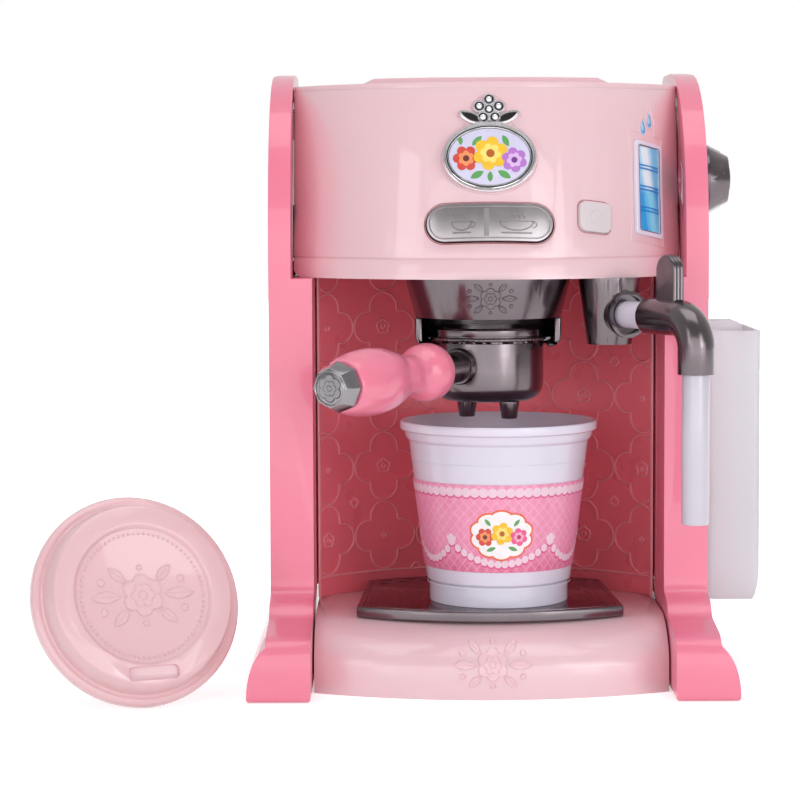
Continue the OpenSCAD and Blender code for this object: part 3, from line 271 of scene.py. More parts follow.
def skin(node, bevel, segments=3, angle=32, material=None):
    """Stands for a CAD node: the same shape, with its edges rounded over bevel millimetres."""
    piece = new_object(node + "_skin", cleaned(node))
    round_off = piece.modifiers.new("round", "BEVEL")
    round_off.width = bevel * MM
    round_off.segments = segments
    round_off.limit_method = "ANGLE"
    round_off.angle_limit = math.radians(angle)
    round_off.use_clamp_overlap = True
    shaded = bpy.context.evaluated_depsgraph_get()
    shaded.update()
    piece.data = bpy.data.meshes.new_from_object(piece.evaluated_get(shaded))
    piece.modifiers.clear()
    finish_piece(piece, node, material)
    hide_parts(node)


def ridge(bm, path, wrap, width, height, closed=True, sink=0.3):
    """A rounded raised line along a path of (x, y) points. wrap(x, y, h) gives the place. Millimetres."""
    # Corners of its section, as shares of the width and of the height
    section = [(-0.5, -sink), (-0.36, 0.55), (-0.13, 0.96), (0.13, 0.96), (0.36, 0.55), (0.5, -sink)]
    count = len(path)
    rings = []
    for i, (x, y) in enumerate(path):
        before = path[i - 1] if closed or i else path[i]
        after = path[(i + 1) % count] if closed or i < count - 1 else path[i]
        tx, ty = after[0] - before[0], after[1] - before[1]
        length = math.hypot(tx, ty) or 1.0
        nx, ny = -ty / length, tx / length
        rings.append([bm.verts.new(wrap(x + nx * a * width, y + ny * a * width, b * height))
                      for a, b in section])
    size = len(section)
    for i in range(count if closed else count - 1):
        one, two = rings[i], rings[(i + 1) % count]
        for k in range(size):
            bm.faces.new((one[k], one[(k + 1) % size], two[(k + 1) % size], two[k]))
    if not closed:
        bm.faces.new(rings[0])
        bm.faces.new(rings[-1])


def decal(bm, outline, wrap, height, centre, rings, thick=0.05):
    """A thin filled shape that follows a surface. The outline is seen whole from its centre. Millimetres."""
    cx, cy = centre
    layers = []
    for k in range(1, rings + 1):
        t = k / rings
        layers.append([bm.verts.new(wrap(cx + (x - cx) * t, cy + (y - cy) * t, height))
                       for x, y in outline])
    middle = bm.verts.new(wrap(cx, cy, height))
    low = [bm.verts.new(wrap(x, y, height - thick)) for x, y in outline]
    count = len(outline)
    for i in range(count):
        j = (i + 1) % count
        bm.faces.new((middle, layers[0][i], layers[0][j]))
        for inner, outer in zip(layers, layers[1:]):
            bm.faces.new((inner[i], outer[i], outer[j], inner[j]))
        bm.faces.new((layers[-1][i], low[i], low[j], layers[-1][j]))


def bead(bm, place, radius, around=10, up=7):
    """A ball at a place in metres. Its radius is in millimetres."""
    bmesh.ops.create_uvsphere(bm, u_segments=around, v_segments=up, radius=radius * MM,
                              matrix=Matrix.Translation(place))


# ---- Outlines, in millimetres ----

def polar(r, degrees):
    """The point at a distance and in a direction."""
    a = math.radians(degrees)
    return r * math.cos(a), r * math.sin(a)


def circle_path(x, y, r, n):
    return [(x + r * math.cos(math.tau * i / n), y + r * math.sin(math.tau * i / n)) for i in range(n)]


def oval_path(a, b, n=64):
    """An oval round the origin, 2a wide and 2b high."""
    return [(a * math.cos(math.tau * i / n), b * math.sin(math.tau * i / n)) for i in range(n)]


def bloom_path(x, y, r, petals=5, depth=0.22, turn=90, n=80):
    """A flower's outline with round petals."""
    points = []
    for i in range(n):
        a = math.tau * i / n
        k = r * (1 - depth + depth * abs(math.cos(petals * (a - math.radians(turn)) / 2)) ** 0.7)
        points.append((x + k * math.cos(a), y + k * math.sin(a)))
    return points


def leaf_path(x, y, length, width, angle):
    """A pointed leaf that starts at (x, y)."""
    n = 12
    side = [(length * i / n, width / 2 * math.sin(math.pi * i / n) ** 0.8) for i in range(n + 1)]
    shape = side + [(px, -py) for px, py in reversed(side[1:-1])]
    c, s = math.cos(math.radians(angle)), math.sin(math.radians(angle))
    return [(x + px * c - py * s, y + px * s + py * c) for px, py in shape]


def drop_path(x, y, size, share):
    """A drop of water round (x, y), drawn at a share of its size."""
    n = 40
    return [(x + share * 0.56 * size * math.sin(a) * math.sin(a / 2) ** 1.3, y + share * size * math.cos(a))
            for a in [math.tau * i / n for i in range(n)]]


def soft_rect_path(w, h, r, x=0, y=0, n=8):
    """A rectangle with round corners."""
    points = []
    for cx, cy, start in ((w / 2 - r, h / 2 - r, 0), (-w / 2 + r, h / 2 - r, 90),
                          (-w / 2 + r, -h / 2 + r, 180), (w / 2 - r, -h / 2 + r, 270)):
        for i in range(n + 1):
            a = math.radians(start + 90 * i / n)
            points.append((x + cx + r * math.cos(a), y + cy + r * math.sin(a)))
    return points


def dense(path, step, closed=True):
    """The same path with points no further apart than step."""
    points = []
    pairs = zip(path, path[1:] + path[:1] if closed else path[1:])
    for (x0, y0), (x1, y1) in pairs:
        n = max(1, math.ceil(math.hypot(x1 - x0, y1 - y0) / step))
        points += [(x0 + (x1 - x0) * i / n, y0 + (y1 - y0) * i / n) for i in range(n)]
    return points if closed else points + [path[-1]]


# ---- Surfaces that details lie on: wrap(x, y, h) with x right, y up and h outward ----

UPRIGHT = Matrix.Rotation(math.pi / 2, 4, "X")      # turns a level plane to face forward
HEAD_R = 102 * MM
HEAD_TILT = math.radians(14)
HEAD_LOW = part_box("head_shell")[0]
HEAD_FOOT = Vector((0, HEAD_LOW.y + HEAD_R / math.cos(HEAD_TILT), HEAD_LOW.z))
HEAD_LEAN = Matrix.Translation(HEAD_FOOT) @ Matrix.Rotation(-HEAD_TILT, 4, "X")


def on_plane(matrix):
    """A flat place."""
    return lambda x, y, h: matrix @ Vector((x * MM, y * MM, h * MM))


def level_at(centre, z):
    """A level place round an upright axis, at height z in metres: here y is away and h is up."""
    return lambda x, y, h: Vector((centre.x + x * MM, centre.y + y * MM, z + h * MM))


def flat_at(wrap, base):
    """The same surface, raised by base millimetres."""
    return lambda x, y, h: wrap(x, y, h + base)


def head_up(z, angle):
    """How far up the head's leaning front a height of z metres lies."""
    return (z - HEAD_LOW.z - HEAD_R * math.cos(angle) * math.sin(HEAD_TILT)) / math.cos(HEAD_TILT)


def on_head(degrees, z):
    """Round the head's leaning front."""
    angle = math.radians(degrees)
    up = head_up(z * MM, angle)

    def wrap(x, y, h):
        a = angle + x * MM / HEAD_R
        r = HEAD_R + h * MM
        return HEAD_LEAN @ Vector((r * math.sin(a), -r * math.cos(a), up + y * MM))
    return wrap


def head_plane(degrees, z, h=0.0):
    """The matrix of a flat place against the head's front, h millimetres out."""
    angle = math.radians(degrees)
    return (HEAD_LEAN @ Matrix.Rotation(angle, 4, "Z")
            @ Matrix.Translation((0, -HEAD_R - h * MM, head_up(z * MM, angle))) @ UPRIGHT)


def on_node(node, matrix):
    """Casts a flat design straight onto a CAD node, along the plane's own -Z."""
    mesh = frame["nodes"][node].data
    tree = BVHTree.FromPolygons([v.co for v in mesh.vertices], [p.vertices for p in mesh.polygons])
    down = (matrix.to_3x3() @ Vector((0, 0, -1))).normalized()

    def wrap(x, y, h):
        start = matrix @ Vector((x * MM, y * MM, 0))
        hit, normal, _, _ = tree.ray_cast(start, down)
        if hit is None:
            return start
        if normal.dot(down) > 0:
            normal = -normal
        return hit + normal * h * MM
    return wrap


def facing_front(x, y, z):
    """The matrix of a plane that looks forward, at (x, y, z) in metres."""
    return Matrix.Translation((x, y, z)) @ UPRIGHT


def middle_of(node):
    """The middle of a CAD node's box."""
    low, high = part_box(node)
    return Vector([(a + b) / 2 for a, b in zip(low, high)])


# ---- The emblem that stands in several places ----

# Shares of the emblem's width. Leaves: direction, start, length and width
EMBLEM_LEAVES = ([(angle, 0.22, 0.28, 0.1) for angle in (0, 180)]
                 + [(angle, 0.21, 0.2, 0.085) for angle in (42, -42, 138, -138)])
# Veins in the leaves: direction, start and length
EMBLEM_VEINS = ([(angle, 0.24, 0.22) for angle in (0, 180)]
                + [(angle, 0.23, 0.15) for angle in (42, -42, 138, -138)])
# Dots: direction, distance and radius
EMBLEM_DOTS = ([(angle, 0.42, 0.03) for angle in (20, -20, 160, -160)]
               + [(angle, 0.27, 0.024) for angle in (90, -90)])


def emblem_flower(w):
    """The outlines of a double flower with an eye."""
    return [bloom_path(0, 0, 0.2 * w, 6, 0.26), bloom_path(0, 0, 0.115 * w, 6, 0.28, 60),
            circle_path(0, 0, 0.04 * w, 16)]


def embossed(bm, w, wrap, line, rise):
    """A double flower among leaves and dots, w wide, as raised shapes with rounded edges."""
    shapes = [(path, (0, 0), rise * 0.22 * i) for i, path in enumerate(emblem_flower(w))]
    for angle, start, length, width in EMBLEM_LEAVES:
        x, y = polar(start * w, angle)
        leaf = leaf_path(x, y, length * w, width * w, angle)
        shapes.append((leaf, polar((start + length / 2) * w, angle), 0.0))
    for angle, out, r in EMBLEM_DOTS:
        x, y = polar(out * w, angle)
        shapes.append((circle_path(x, y, r * w, 14), (x, y), 0.0))
    for path, middle, lift in shapes:
        path = dense(path, max(0.45, w / 70))
        decal(bm, path, wrap, rise * 0.55 + lift, middle, 2, rise)
        ridge(bm, path, flat_at(wrap, lift), line, rise)
    for angle, start, length in EMBLEM_VEINS:
        vein = [polar((start + length * t) * w, angle) for t in (0, 0.34, 0.67, 1)]
        ridge(bm, vein, wrap, line * 0.6, rise * 0.95, False)


# ---- Back wall ----

WALL_R = 98.6           # radius of its hollow front
WALL_THICK = 2.4
WALL_PITCH = 32.9       # spacing of the quatrefoils, both ways
WALL_ROW = 88.8         # height of one row of their centres
WALL_ROWS = range(-2, 4)
WALL_COLUMNS = 6
WALL_FOOT = 9           # the pattern starts this far above the wall's foot
WALL_SIDE = 2.2         # and ends this far from its sides
WALL_W, WALL_H = 1.0, 0.8       # width and height of the pattern's lines
LOBE_R = 7.2
LOBE_OUT = 8.8          # from the quatrefoil's middle to each lobe's


def quatrefoil():
    """Four round lobes that meet in square corners."""
    points = []
    for k in range(4):
        turn = math.radians(90 * k)
        lobe = [(LOBE_R, LOBE_R)]
        lobe += [(LOBE_OUT + LOBE_R * math.cos(math.radians(a)), LOBE_R * math.sin(math.radians(a)))
                 for a in range(90, -91, -12)]
        c, s = math.cos(turn), math.sin(turn)
        points += [(x * c - y * s, x * s + y * c) for x, y in reversed(lobe)]
    return points


def back_wall():
    """The curved wall, with raised quatrefoils, flowers and dots."""
    skin("back_wall", 0.3, 2)
    low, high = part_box("back_wall")
    radius = WALL_R * MM
    centre_y = high.y - WALL_THICK * MM - radius
    reach = math.asin(high.x / radius) * radius / MM - WALL_SIDE
    bottom, top = low.z / MM + WALL_FOOT, high.z / MM
    bm = bmesh.new()

    def wrap(x, y, h):
        a = x * MM / radius
        r = radius - h * MM
        return Vector((r * math.sin(a), centre_y + r * math.cos(a), y * MM))

    def on_wall(point):
        return abs(point[0]) < reach and bottom < point[1] < top - 0.5

    def trimmed(path):
        """Draws the stretches of a closed path that lie on the wall."""
        path = dense(path, 1.2)
        if all(on_wall(point) for point in path):
            ridge(bm, path, wrap, WALL_W, WALL_H)
            return
        # Starts at a point off the wall, so that no stretch is cut in two
        first = next(i for i, point in enumerate(path) if not on_wall(point))
        for shown, run in groupby(path[first:] + path[:first], on_wall):
            run = list(run)
            if shown and len(run) > 2:
                ridge(bm, run, wrap, WALL_W, WALL_H, False)

    for column in range(WALL_COLUMNS):
        for row in WALL_ROWS:
            cx = (column - (WALL_COLUMNS - 1) / 2) * WALL_PITCH
            cy = WALL_ROW + row * WALL_PITCH
            trimmed([(cx + x, cy + y) for x, y in quatrefoil()])
            if (column + row) % 2:
                trimmed(bloom_path(cx, cy, 3.4, n=40))
                trimmed(circle_path(cx, cy, 1.0, 12))
            else:
                trimmed(circle_path(cx, cy, 1.1, 12))
            if (column - row) % 2:
                trimmed(bloom_path(cx + WALL_PITCH / 2, cy + WALL_PITCH / 2, 2.3, 4, 0.35, n=32))
    for x in (-reach - 0.8, reach + 0.8):
        ridge(bm, dense([(x, low.z / MM), (x, top)], 4, False), wrap, 1.8, 0.4, False)
    ridge(bm, dense([(-reach, bottom), (reach, bottom)], 3, False), wrap, 1.2, 0.5, False)
    make("wall_relief", bm, "back_wall", MATERIALS["wall_line_shade_and_highlight"])


# ---- Printed flowers ----

# Petals, inner petals and eye of each kind
BLOOMS = {
    "bloom_red": (srgb(214, 74, 62), srgb(240, 150, 96), srgb(112, 44, 34)),
    "bloom_gold": (srgb(246, 196, 44), srgb(252, 226, 120), srgb(186, 96, 34)),
    "bloom_violet": (srgb(186, 120, 206), srgb(224, 184, 236), srgb(116, 58, 142)),
    "bloom_pink": (srgb(236, 90, 146), srgb(248, 170, 200), srgb(180, 40, 92)),
}
PRINTS = {name: [ink(f"{name}_{k}", colour) for k, colour in zip(("petal", "light", "eye"), colours)]
          for name, colours in BLOOMS.items()}
LEAF = ink("leaf_green", srgb(96, 164, 92))


def blooms(wrap, name, node, flowers, leaves):
    """Printed flowers, each of an outer and an inner ring of petals and an eye, over leaves."""
    bm = bmesh.new()
    for x, y, length, width, angle in leaves:
        dx, dy = polar(length / 2, angle)
        decal(bm, leaf_path(x, y, length, width, angle), wrap, 0.08, (x + dx, y + dy), 2)
    make(f"{name}_leaves", bm, node, LEAF)
    for i, (x, y, r, kind) in enumerate(flowers):
        petal, light, eye = PRINTS[kind]
        for part, material, outline, lift in (
                ("petals", petal, bloom_path(x, y, r, 6, 0.3, 20 * i), 0.13),
                ("inner", light, bloom_path(x, y, r * 0.6, 6, 0.3, 30 + 20 * i), 0.15),
                ("eye", eye, circle_path(x, y, r * 0.24, 20), 0.17)):
            bm = bmesh.new()
            decal(bm, outline, wrap, lift + 0.05 * i, (x, y), 3)
            make(f"{name}_bloom{i}_{part}", bm, node, material)


# ---- Head ----

# Heights of middles above the floor, and degrees round the head from its front
BADGE_Z = 232
ROCKER_Z = 204
GAUGE_ANGLE, GAUGE_Z = 44.5, 218
BUTTON_ANGLE, BUTTON_Z = 27, 206

# Half widths and half heights of ovals round the badge's middle
BADGE_RING = (19.75, 14.75)
BADGE_LINE = (18.55, 13.55)
BADGE_INNER_RING = (17.7, 12.7)
BADGE_LIP = (21.3, 16.2)
FINIAL_UP = 21.5        # from the badge's middle to the finial's
FINIAL_OUT = 2.15       # how far out its face lies
FINIAL_RING = 4.46      # radius on which its outer beads lie
FINIAL_LEAF_L, FINIAL_LEAF_W = 10.4, 3.2
SURROUND_W, SURROUND_H = 0.55, 0.24     # raised lines round the badge and the gauge
ROCKER_OUT, BUTTON_OUT = 1.6, 1.4       # how far out the faces of the buttons lie
# Width, height and corner radius of the line on the rocker and of the lines of painted shade round the
# openings
ROCKER_LINE = (52.4, 13.9, 6.9)
ROCKER_GAP_SHADE = (57.7, 18.4, 9.19)
BUTTON_GAP_SHADE = (17.2, 14.7, 3.9)

# Flowers: x, y, radius and kind. Leaves: x, y, length, width and direction
BADGE_FLOWERS = ((-10.2, -0.6, 5.8, "bloom_red"), (0.4, 1.6, 7.6, "bloom_gold"),
                 (10.8, -1.4, 5.6, "bloom_violet"))
BADGE_LEAVES = ((-2.6, -6.4, 6.5, 3.0, 208), (3.6, -6.2, 6.5, 3.0, -30), (-7.6, 5.2, 6.0, 2.6, 44),
                (8.4, 4.8, 5.6, 2.6, 118), (-12.4, 5.4, 4.0, 2.0, 96), (0.2, -6.4, 4.8, 2.4, 270))


def head():
    for node, bevel in (("head_shell", 0.5), ("top_cover", 0.7), ("head_floor", 0.5), ("rear_cover", 0.5)):
        skin(node, bevel)


def badge():
    """A plated oval frame with a dark line inside, a finial on top and a print of three blooms."""
    skin("badge_frame", 0.5)
    skin("badge_disc", 0.1, 2, material=ink("badge_ground", srgb(214, 210, 236)))
    flat = on_plane(head_plane(0, BADGE_Z))
    face = flat_at(flat, FINIAL_OUT)
    beads = [(0, FINIAL_UP, 2.1)]
    for angle in range(90, 450, 72):
        x, y = polar(FINIAL_RING, angle)
        beads.append((x, FINIAL_UP + y, 2.25))
    leaves = []
    for side in (1, -1):
        angle = 90 - side * 66
        x, y = side * 2.9, FINIAL_UP - 5.7
        dx, dy = polar(FINIAL_LEAF_L / 2, angle)
        leaves.append((leaf_path(x, y, FINIAL_LEAF_L, FINIAL_LEAF_W, angle), (x + dx, y + dy)))

    bm = bmesh.new()
    ridge(bm, oval_path(*BADGE_RING), flat_at(flat, 2.5), 1.3, 0.9)
    ridge(bm, oval_path(*BADGE_INNER_RING), flat_at(flat, 2.1), 0.5, 0.55)
    for x, y, r in beads:
        ridge(bm, circle_path(x, y, r, 28), face, 0.8, 0.8)
        bead(bm, flat(x, y, 1.9), r * 0.66, 16, 10)
    for path, _ in leaves:
        ridge(bm, path, face, 0.6, 0.7)
    make("badge_trim", bm, "badge_frame")

    bm = bmesh.new()
    ridge(bm, oval_path(*BADGE_LINE), flat_at(flat, 2.72), 0.75, 0.2)
    for x, y, r in beads:
        decal(bm, circle_path(x, y, r, 28), face, 0.12, (x, y), 1)
    for path, middle in leaves:
        decal(bm, path, face, 0.12, middle, 1)
    make("badge_dark", bm, "badge_frame", ink("badge_black", srgb(26, 22, 24), 0.2))
    blooms(flat_at(flat, 2.2), "badge", "badge_disc", BADGE_FLOWERS, BADGE_LEAVES)
    badge_lip()


def badge_lip():
    """A raised line on the head, round the badge and its finial."""
    # The oval apart from its top, from the finial's left round the bottom to its right
    lip = [(x, y) for x, y in oval_path(*BADGE_LIP, 96) if y < 0 or abs(x) > 11]
    lip.sort(key=lambda point: (math.atan2(point[1], point[0]) - math.pi / 2) % math.tau)
    crest = [(9.4, 17.6), (14.2, 18.8), (13.6, 21.2), (8.2, 20.6), (7.6, 24.6), (4.2, 27.6), (0, 29.6)]
    path = lip + crest + [(-x, y) for x, y in reversed(crest[:-1])]
    bm = bmesh.new()
    ridge(bm, dense(path, 1.2), on_head(0, BADGE_Z), SURROUND_W, SURROUND_H)
    make("badge_lip", bm, "head_shell", MATERIALS["pink_relief"])


def cup_icon(bm, wrap, x, y, size, wide):
    """A cup with its saucer and four wisps of steam, in raised lines."""
    w = size * wide
    bowl = [(x - w, y + size * 0.5)] + [
        (x + w * math.cos(math.radians(a)), y + size * 0.5 + size * 0.95 * math.sin(math.radians(a)))
        for a in range(190, 351, 16)] + [(x + w, y + size * 0.5)]
    ridge(bm, bowl, wrap, 0.7, 0.5)
    saucer = [(x - w * 0.9, y - size * 0.72), (x + w * 0.9, y - size * 0.72)]
    ridge(bm, dense(saucer, 1, False), wrap, 0.8, 0.5, False)
    handle_path = [(x + w + size * 0.32 * math.cos(math.radians(a)) * 1.1,
                    y + size * 0.16 + size * 0.3 * math.sin(math.radians(a)))
                   for a in range(80, -101, -20)]
    ridge(bm, handle_path, wrap, 0.6, 0.45, False)
    for k in (-1.5, -0.5, 0.5, 1.5):
        wisp = [(x + k * size * 0.5 + size * 0.13 * math.sin(t * math.pi * 2),
                 y + size * (0.75 + 0.55 * t)) for t in [i / 8 for i in range(9)]]
        ridge(bm, wisp, wrap, 0.5, 0.4, False)


def controls():
    """The rocker with its two cups, the square button, and a red line of painted shade in the gap round each
    opening.
    """
    rocker_silver = silver_paint("rocker_silver", srgb(172, 166, 169), 0.28, 0.38)
    skin("rocker_button", 0.7, material=rocker_silver)
    skin("light_button", 0.6)
    rocker = flat_at(on_head(0, ROCKER_Z), ROCKER_OUT)
    bm = bmesh.new()
    ridge(bm, dense(soft_rect_path(*ROCKER_LINE, n=12), 1.5), rocker, 0.7, 0.4)
    cup_icon(bm, rocker, -12.2, -1.6, 4.0, 1.1)
    cup_icon(bm, rocker, 11.4, -1.6, 4.3, 1.7)
    ridge(bm, dense([(-1.6, -6.2), (-1.6, 6.2)], 1, False), rocker, 2.4, 0.04, False)
    make("rocker_relief", bm, "rocker_button", rocker_silver)

    bm = bmesh.new()
    button = on_plane(head_plane(BUTTON_ANGLE, BUTTON_Z, BUTTON_OUT))
    ridge(bm, bloom_path(0, 0, 3.2, n=50), button, 0.5, 0.14)
    make("button_relief", bm, "light_button")

    # Painted shade: a thin red line sunk in the gap round each opening, standing for the shadow and reddened
    # bounce light there.
    gap = ink("painted_gap_shade", srgb(168, 56, 66))
    for name, degrees, z, outline, width in (
            ("rocker_gap", 0, ROCKER_Z, soft_rect_path(*ROCKER_GAP_SHADE, n=14), 0.5),
            ("button_gap_shade", BUTTON_ANGLE, BUTTON_Z, soft_rect_path(*BUTTON_GAP_SHADE), 0.4)):
        bm = bmesh.new()
        ridge(bm, dense(outline, 1.2), on_head(degrees, z), width, 0.05, sink=6)
        make(name, bm, "head_shell", gap)


# ---- Water gauge ----

WINDOW_X, WINDOW_Y = 6.6, 19.1      # half of the window's width and of its height
WINDOW_OUT, WINDOW_CURVE = 1.15, 0.6    # how far out its middle lies, and how far back its sides
WINDOW_STEPS = 12
WINDOW_SHADE_LINE = (14.0, 39.0, 1.1)      # width, height and corner radius of the grey line of painted shade round it
WATER_HALF = 6.7        # from the painted highlight down the water's middle to the painted shade at its sides
BAR_W, BAR_H, BAR_R = 12.8, 0.6, 0.25
BAR_PITCH = 9.55        # between the pairs of bars
BAR_APART = 0.75        # from a pair's middle to each bar
DROPS = ((-2.4, 28.4), (1.9, 32.2))
DROP_SIZE = 3.6
# Raised line on the head round the gauge and its drops
GAUGE_BORDER = [(-10.8, -24.6), (10.8, -24.6), (10.8, 25.4), (5.2, 25.4), (5.8, 31.5), (1.6, 40.5),
                (-0.2, 31), (-3.2, 33), (-5.5, 25.4), (-10.8, 25.4)]


def painted_gauge_shading():
    """Blue water with painted shading: deep painted shade at each side, a pale painted highlight in the
    middle, and stronger in the lower half.
    """
    n = Nodes("gauge_water_painted_shading")
    low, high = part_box("gauge_tube")
    angle = math.radians(GAUGE_ANGLE)
    across = (math.cos(angle), math.sin(angle), 0)
    middle = head_plane(GAUGE_ANGLE, GAUGE_Z).translation.dot(Vector(across))
    side = n.add("ShaderNodeVectorMath", {0: n.place, 1: across}, operation="DOT_PRODUCT").outputs["Value"]
    off = n.math("MULTIPLY", n.math("ABSOLUTE", n.math("SUBTRACT", side, middle)), 1 / (WATER_HALF * MM))
    height = n.add("ShaderNodeSeparateXYZ", {"Vector": n.place}).outputs["Z"]
    level = n.add("ShaderNodeMapRange", {"Value": height, "From Min": low.z, "From Max": high.z}).outputs[0]
    # Painted shade at the sides and a painted highlight down the middle stand for the light on a round tube.
    edge = n.ramp(level, srgb(20, 158, 226), srgb(110, 196, 236), 0.46, 0.54)
    pale = n.ramp(level, srgb(124, 212, 242), srgb(226, 240, 249), 0.46, 0.54)
    streak = n.math("ADD", off, n.math("MULTIPLY", n.noise(420, 1, (1, 1, 0.02)), 0.5))
    n.link(n.mix(n.ramp(streak, (0, 0, 0, 1), (1, 1, 1, 1), 0.45, 1.0), pale, edge), "Base Color")
    n.rough(0.08, 0.12)
    n.set(Coat_Weight=0.5, Coat_Roughness=0.05, IOR=1.5)
    return n.material


def gauge():
    """The framed window with its water and bars, a raised surround and two drops; the water's shade and
    highlight are painted.
    """
    water = painted_gauge_shading()
    skin("gauge_frame", 0.4)
    skin("gauge_tube", 0.3, 2, material=water)
    flat = on_plane(head_plane(GAUGE_ANGLE, GAUGE_Z))
    around = on_head(GAUGE_ANGLE, GAUGE_Z)

    def glass(x, y, h):
        """The shallow round front of the window."""
        return flat(x, y, h + WINDOW_OUT - WINDOW_CURVE * (x / WINDOW_X) ** 2)

    bm = bmesh.new()
    columns = [[bm.verts.new(glass(WINDOW_X * k / WINDOW_STEPS, y, 0)) for y in (-WINDOW_Y, WINDOW_Y)]
               for k in range(-WINDOW_STEPS, WINDOW_STEPS + 1)]
    for one, two in zip(columns, columns[1:]):
        bm.faces.new((one[0], two[0], two[1], one[1]))
    make("gauge_glass", bm, "gauge_frame", water)

    bm = bmesh.new()
    for k in (-1, 0, 1):
        for lift in (-BAR_APART, BAR_APART):
            y = k * BAR_PITCH + 0.1 + lift
            bar = dense(soft_rect_path(BAR_W, BAR_H, BAR_R, 0, y, 3), 1.0)
            decal(bm, bar, glass, 0.45, (0, y), 1, 0.5)
    make("gauge_bars", bm, "gauge_frame", ink("gauge_bar", srgb(28, 140, 214), 0.2))

    bm = bmesh.new()
    # A grey line of painted shade where the frame drops to the window.
    ridge(bm, dense(soft_rect_path(*WINDOW_SHADE_LINE), 1.5), flat_at(flat, 1.3), 0.5, 0.3)
    make("gauge_edge_shade_line", bm, "gauge_frame", ink("gauge_edge_shade", srgb(120, 112, 134), 0.25))

    bm = bmesh.new()
    ridge(bm, dense(GAUGE_BORDER, 1.5), around, SURROUND_W, SURROUND_H)
    make("gauge_surround", bm, "head_shell", MATERIALS["pink_relief"])

    for part, colour, share, shift, lift in (("rim", srgb(176, 208, 236), 1.0, 0.0, 0.12),
                                             ("fill", srgb(84, 162, 222), 0.82, 0.0, 0.22),
                                             ("shine", srgb(170, 214, 244), 0.5, -0.5, 0.3)):
        bm = bmesh.new()
        for x, y in DROPS:
            decal(bm, drop_path(x + shift, y, DROP_SIZE, share), flat_at(around, lift), 0.1,
                  (x + shift, y - DROP_SIZE * 0.3 * share), 3, 0.3)
        make(f"drop_{part}", bm, "head_shell", ink(f"drop_{part}", colour, 0.15))


def knob():
    skin("steam_knob", 0.5)
    skin("knob_cap", 0.5)


# ---- Brew group and steam arm ----

BEADS = 72              # round the bowl's ring
BEADS_R, BEADS_Z = 24.85, 152.6
BREW_EMBLEM_W, BREW_EMBLEM_Z = 23, 171.2
HANDLE_Y, HANDLE_Z = -20, 141.6     # where the handle's axis crosses the brew group's
HANDLE_ANGLE = 33       # degrees from straight ahead to the left
HANDLE_DROOP = 1.7      # degrees down from level
HANDLE_L = 125          # from the brew group's axis to the cap's end
STEAM_SEAM_X = 52
STEAM_SEAM = ((151, 153), (174.5, 179))     # heights at which its two stretches start and end


def brew_group():
    for node, bevel in (("brew_head", 0.6), ("lock_collar", 1.1), ("filter_basket", 0.3), ("bead_ring", 0.05),
                        ("portafilter_bowl", 0.1), ("portafilter_spouts", 0.4), ("handle_stub", 0.4)):
        skin(node, bevel)
    axis = middle_of("brew_head")
    bm = bmesh.new()
    for x, y in circle_path(axis.x, axis.y, BEADS_R * MM, BEADS):
        bead(bm, (x, y, BEADS_Z * MM), 1.0)
    make("bowl_beads", bm, "bead_ring")
    bm = bmesh.new()
    front = on_node("brew_head", facing_front(0, axis.y - 60 * MM, BREW_EMBLEM_Z * MM))
    embossed(bm, BREW_EMBLEM_W, front, 0.6, 0.45)
    make("brew_emblem", bm, "brew_head")


def handle():
    """The grip and its faceted cap, with a flower on the cap's end."""
    skin("handle_grip", 0.5)
    bright = silver_paint("cap_silver", srgb(146, 143, 146), 0.18, 0.26)
    skin("handle_cap", 0.35, 2, angle=15, material=bright)
    end = on_plane(Matrix.Translation((0, HANDLE_Y * MM, HANDLE_Z * MM))
                   @ Matrix.Rotation(math.radians(-HANDLE_ANGLE), 4, "Z")
                   @ Matrix.Rotation(math.radians(90 + HANDLE_DROOP), 4, "X")
                   @ Matrix.Translation((0, 0, HANDLE_L * MM)))
    bm = bmesh.new()
    ridge(bm, circle_path(0, 0, 7.0, 40), end, 0.8, 0.5)
    for i, path in enumerate((bloom_path(0, 0, 5.6, 6), bloom_path(0, 0, 3.2, 6, turn=60),
                              circle_path(0, 0, 1.1, 16))):
        decal(bm, path, end, 0.3 + 0.15 * i, (0, 0), 2, 0.4)
        ridge(bm, path, flat_at(end, 0.15 * i), 0.7, 0.6)
    make("cap_relief", bm, "handle_cap", bright)


def steam():
    for node, bevel in (("steam_head", 0.5), ("steam_elbow", 0.7), ("steam_tube", 0.3)):
        skin(node, bevel)
    skin("steam_wand", 0.5, material=moulded("wand_lavender", srgb(205, 200, 212), soft=0.1))
    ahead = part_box("steam_head")[0].y - 20 * MM
    front = on_node("steam_head", facing_front(STEAM_SEAM_X * MM, ahead, 0))
    bm = bmesh.new()
    for start, end in STEAM_SEAM:
        ridge(bm, dense([(0, start), (0, end)], 1, False), front, 0.5, 0.2, False)
    make("steam_seam", bm, "steam_head")


# ---- Base and tray ----

BASE_EMBLEM_W, BASE_EMBLEM_Z = 33, 15


def base():
    for node, bevel, segments in (("base_shell", 0.5, 3), ("left_panel", 1.1, 4), ("right_panel", 1.1, 4),
                                  ("bottom_cover", 0.3, 3), ("battery_door", 0.3, 3)):
        skin(node, bevel, segments)
    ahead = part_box("base_shell")[0].y - 50 * MM
    front = on_node("base_shell", facing_front(0, ahead, BASE_EMBLEM_Z * MM))
    bm = bmesh.new()
    embossed(bm, BASE_EMBLEM_W, front, 0.8, 0.65)
    make("base_emblem", bm, "base_shell", MATERIALS["pink_relief"])


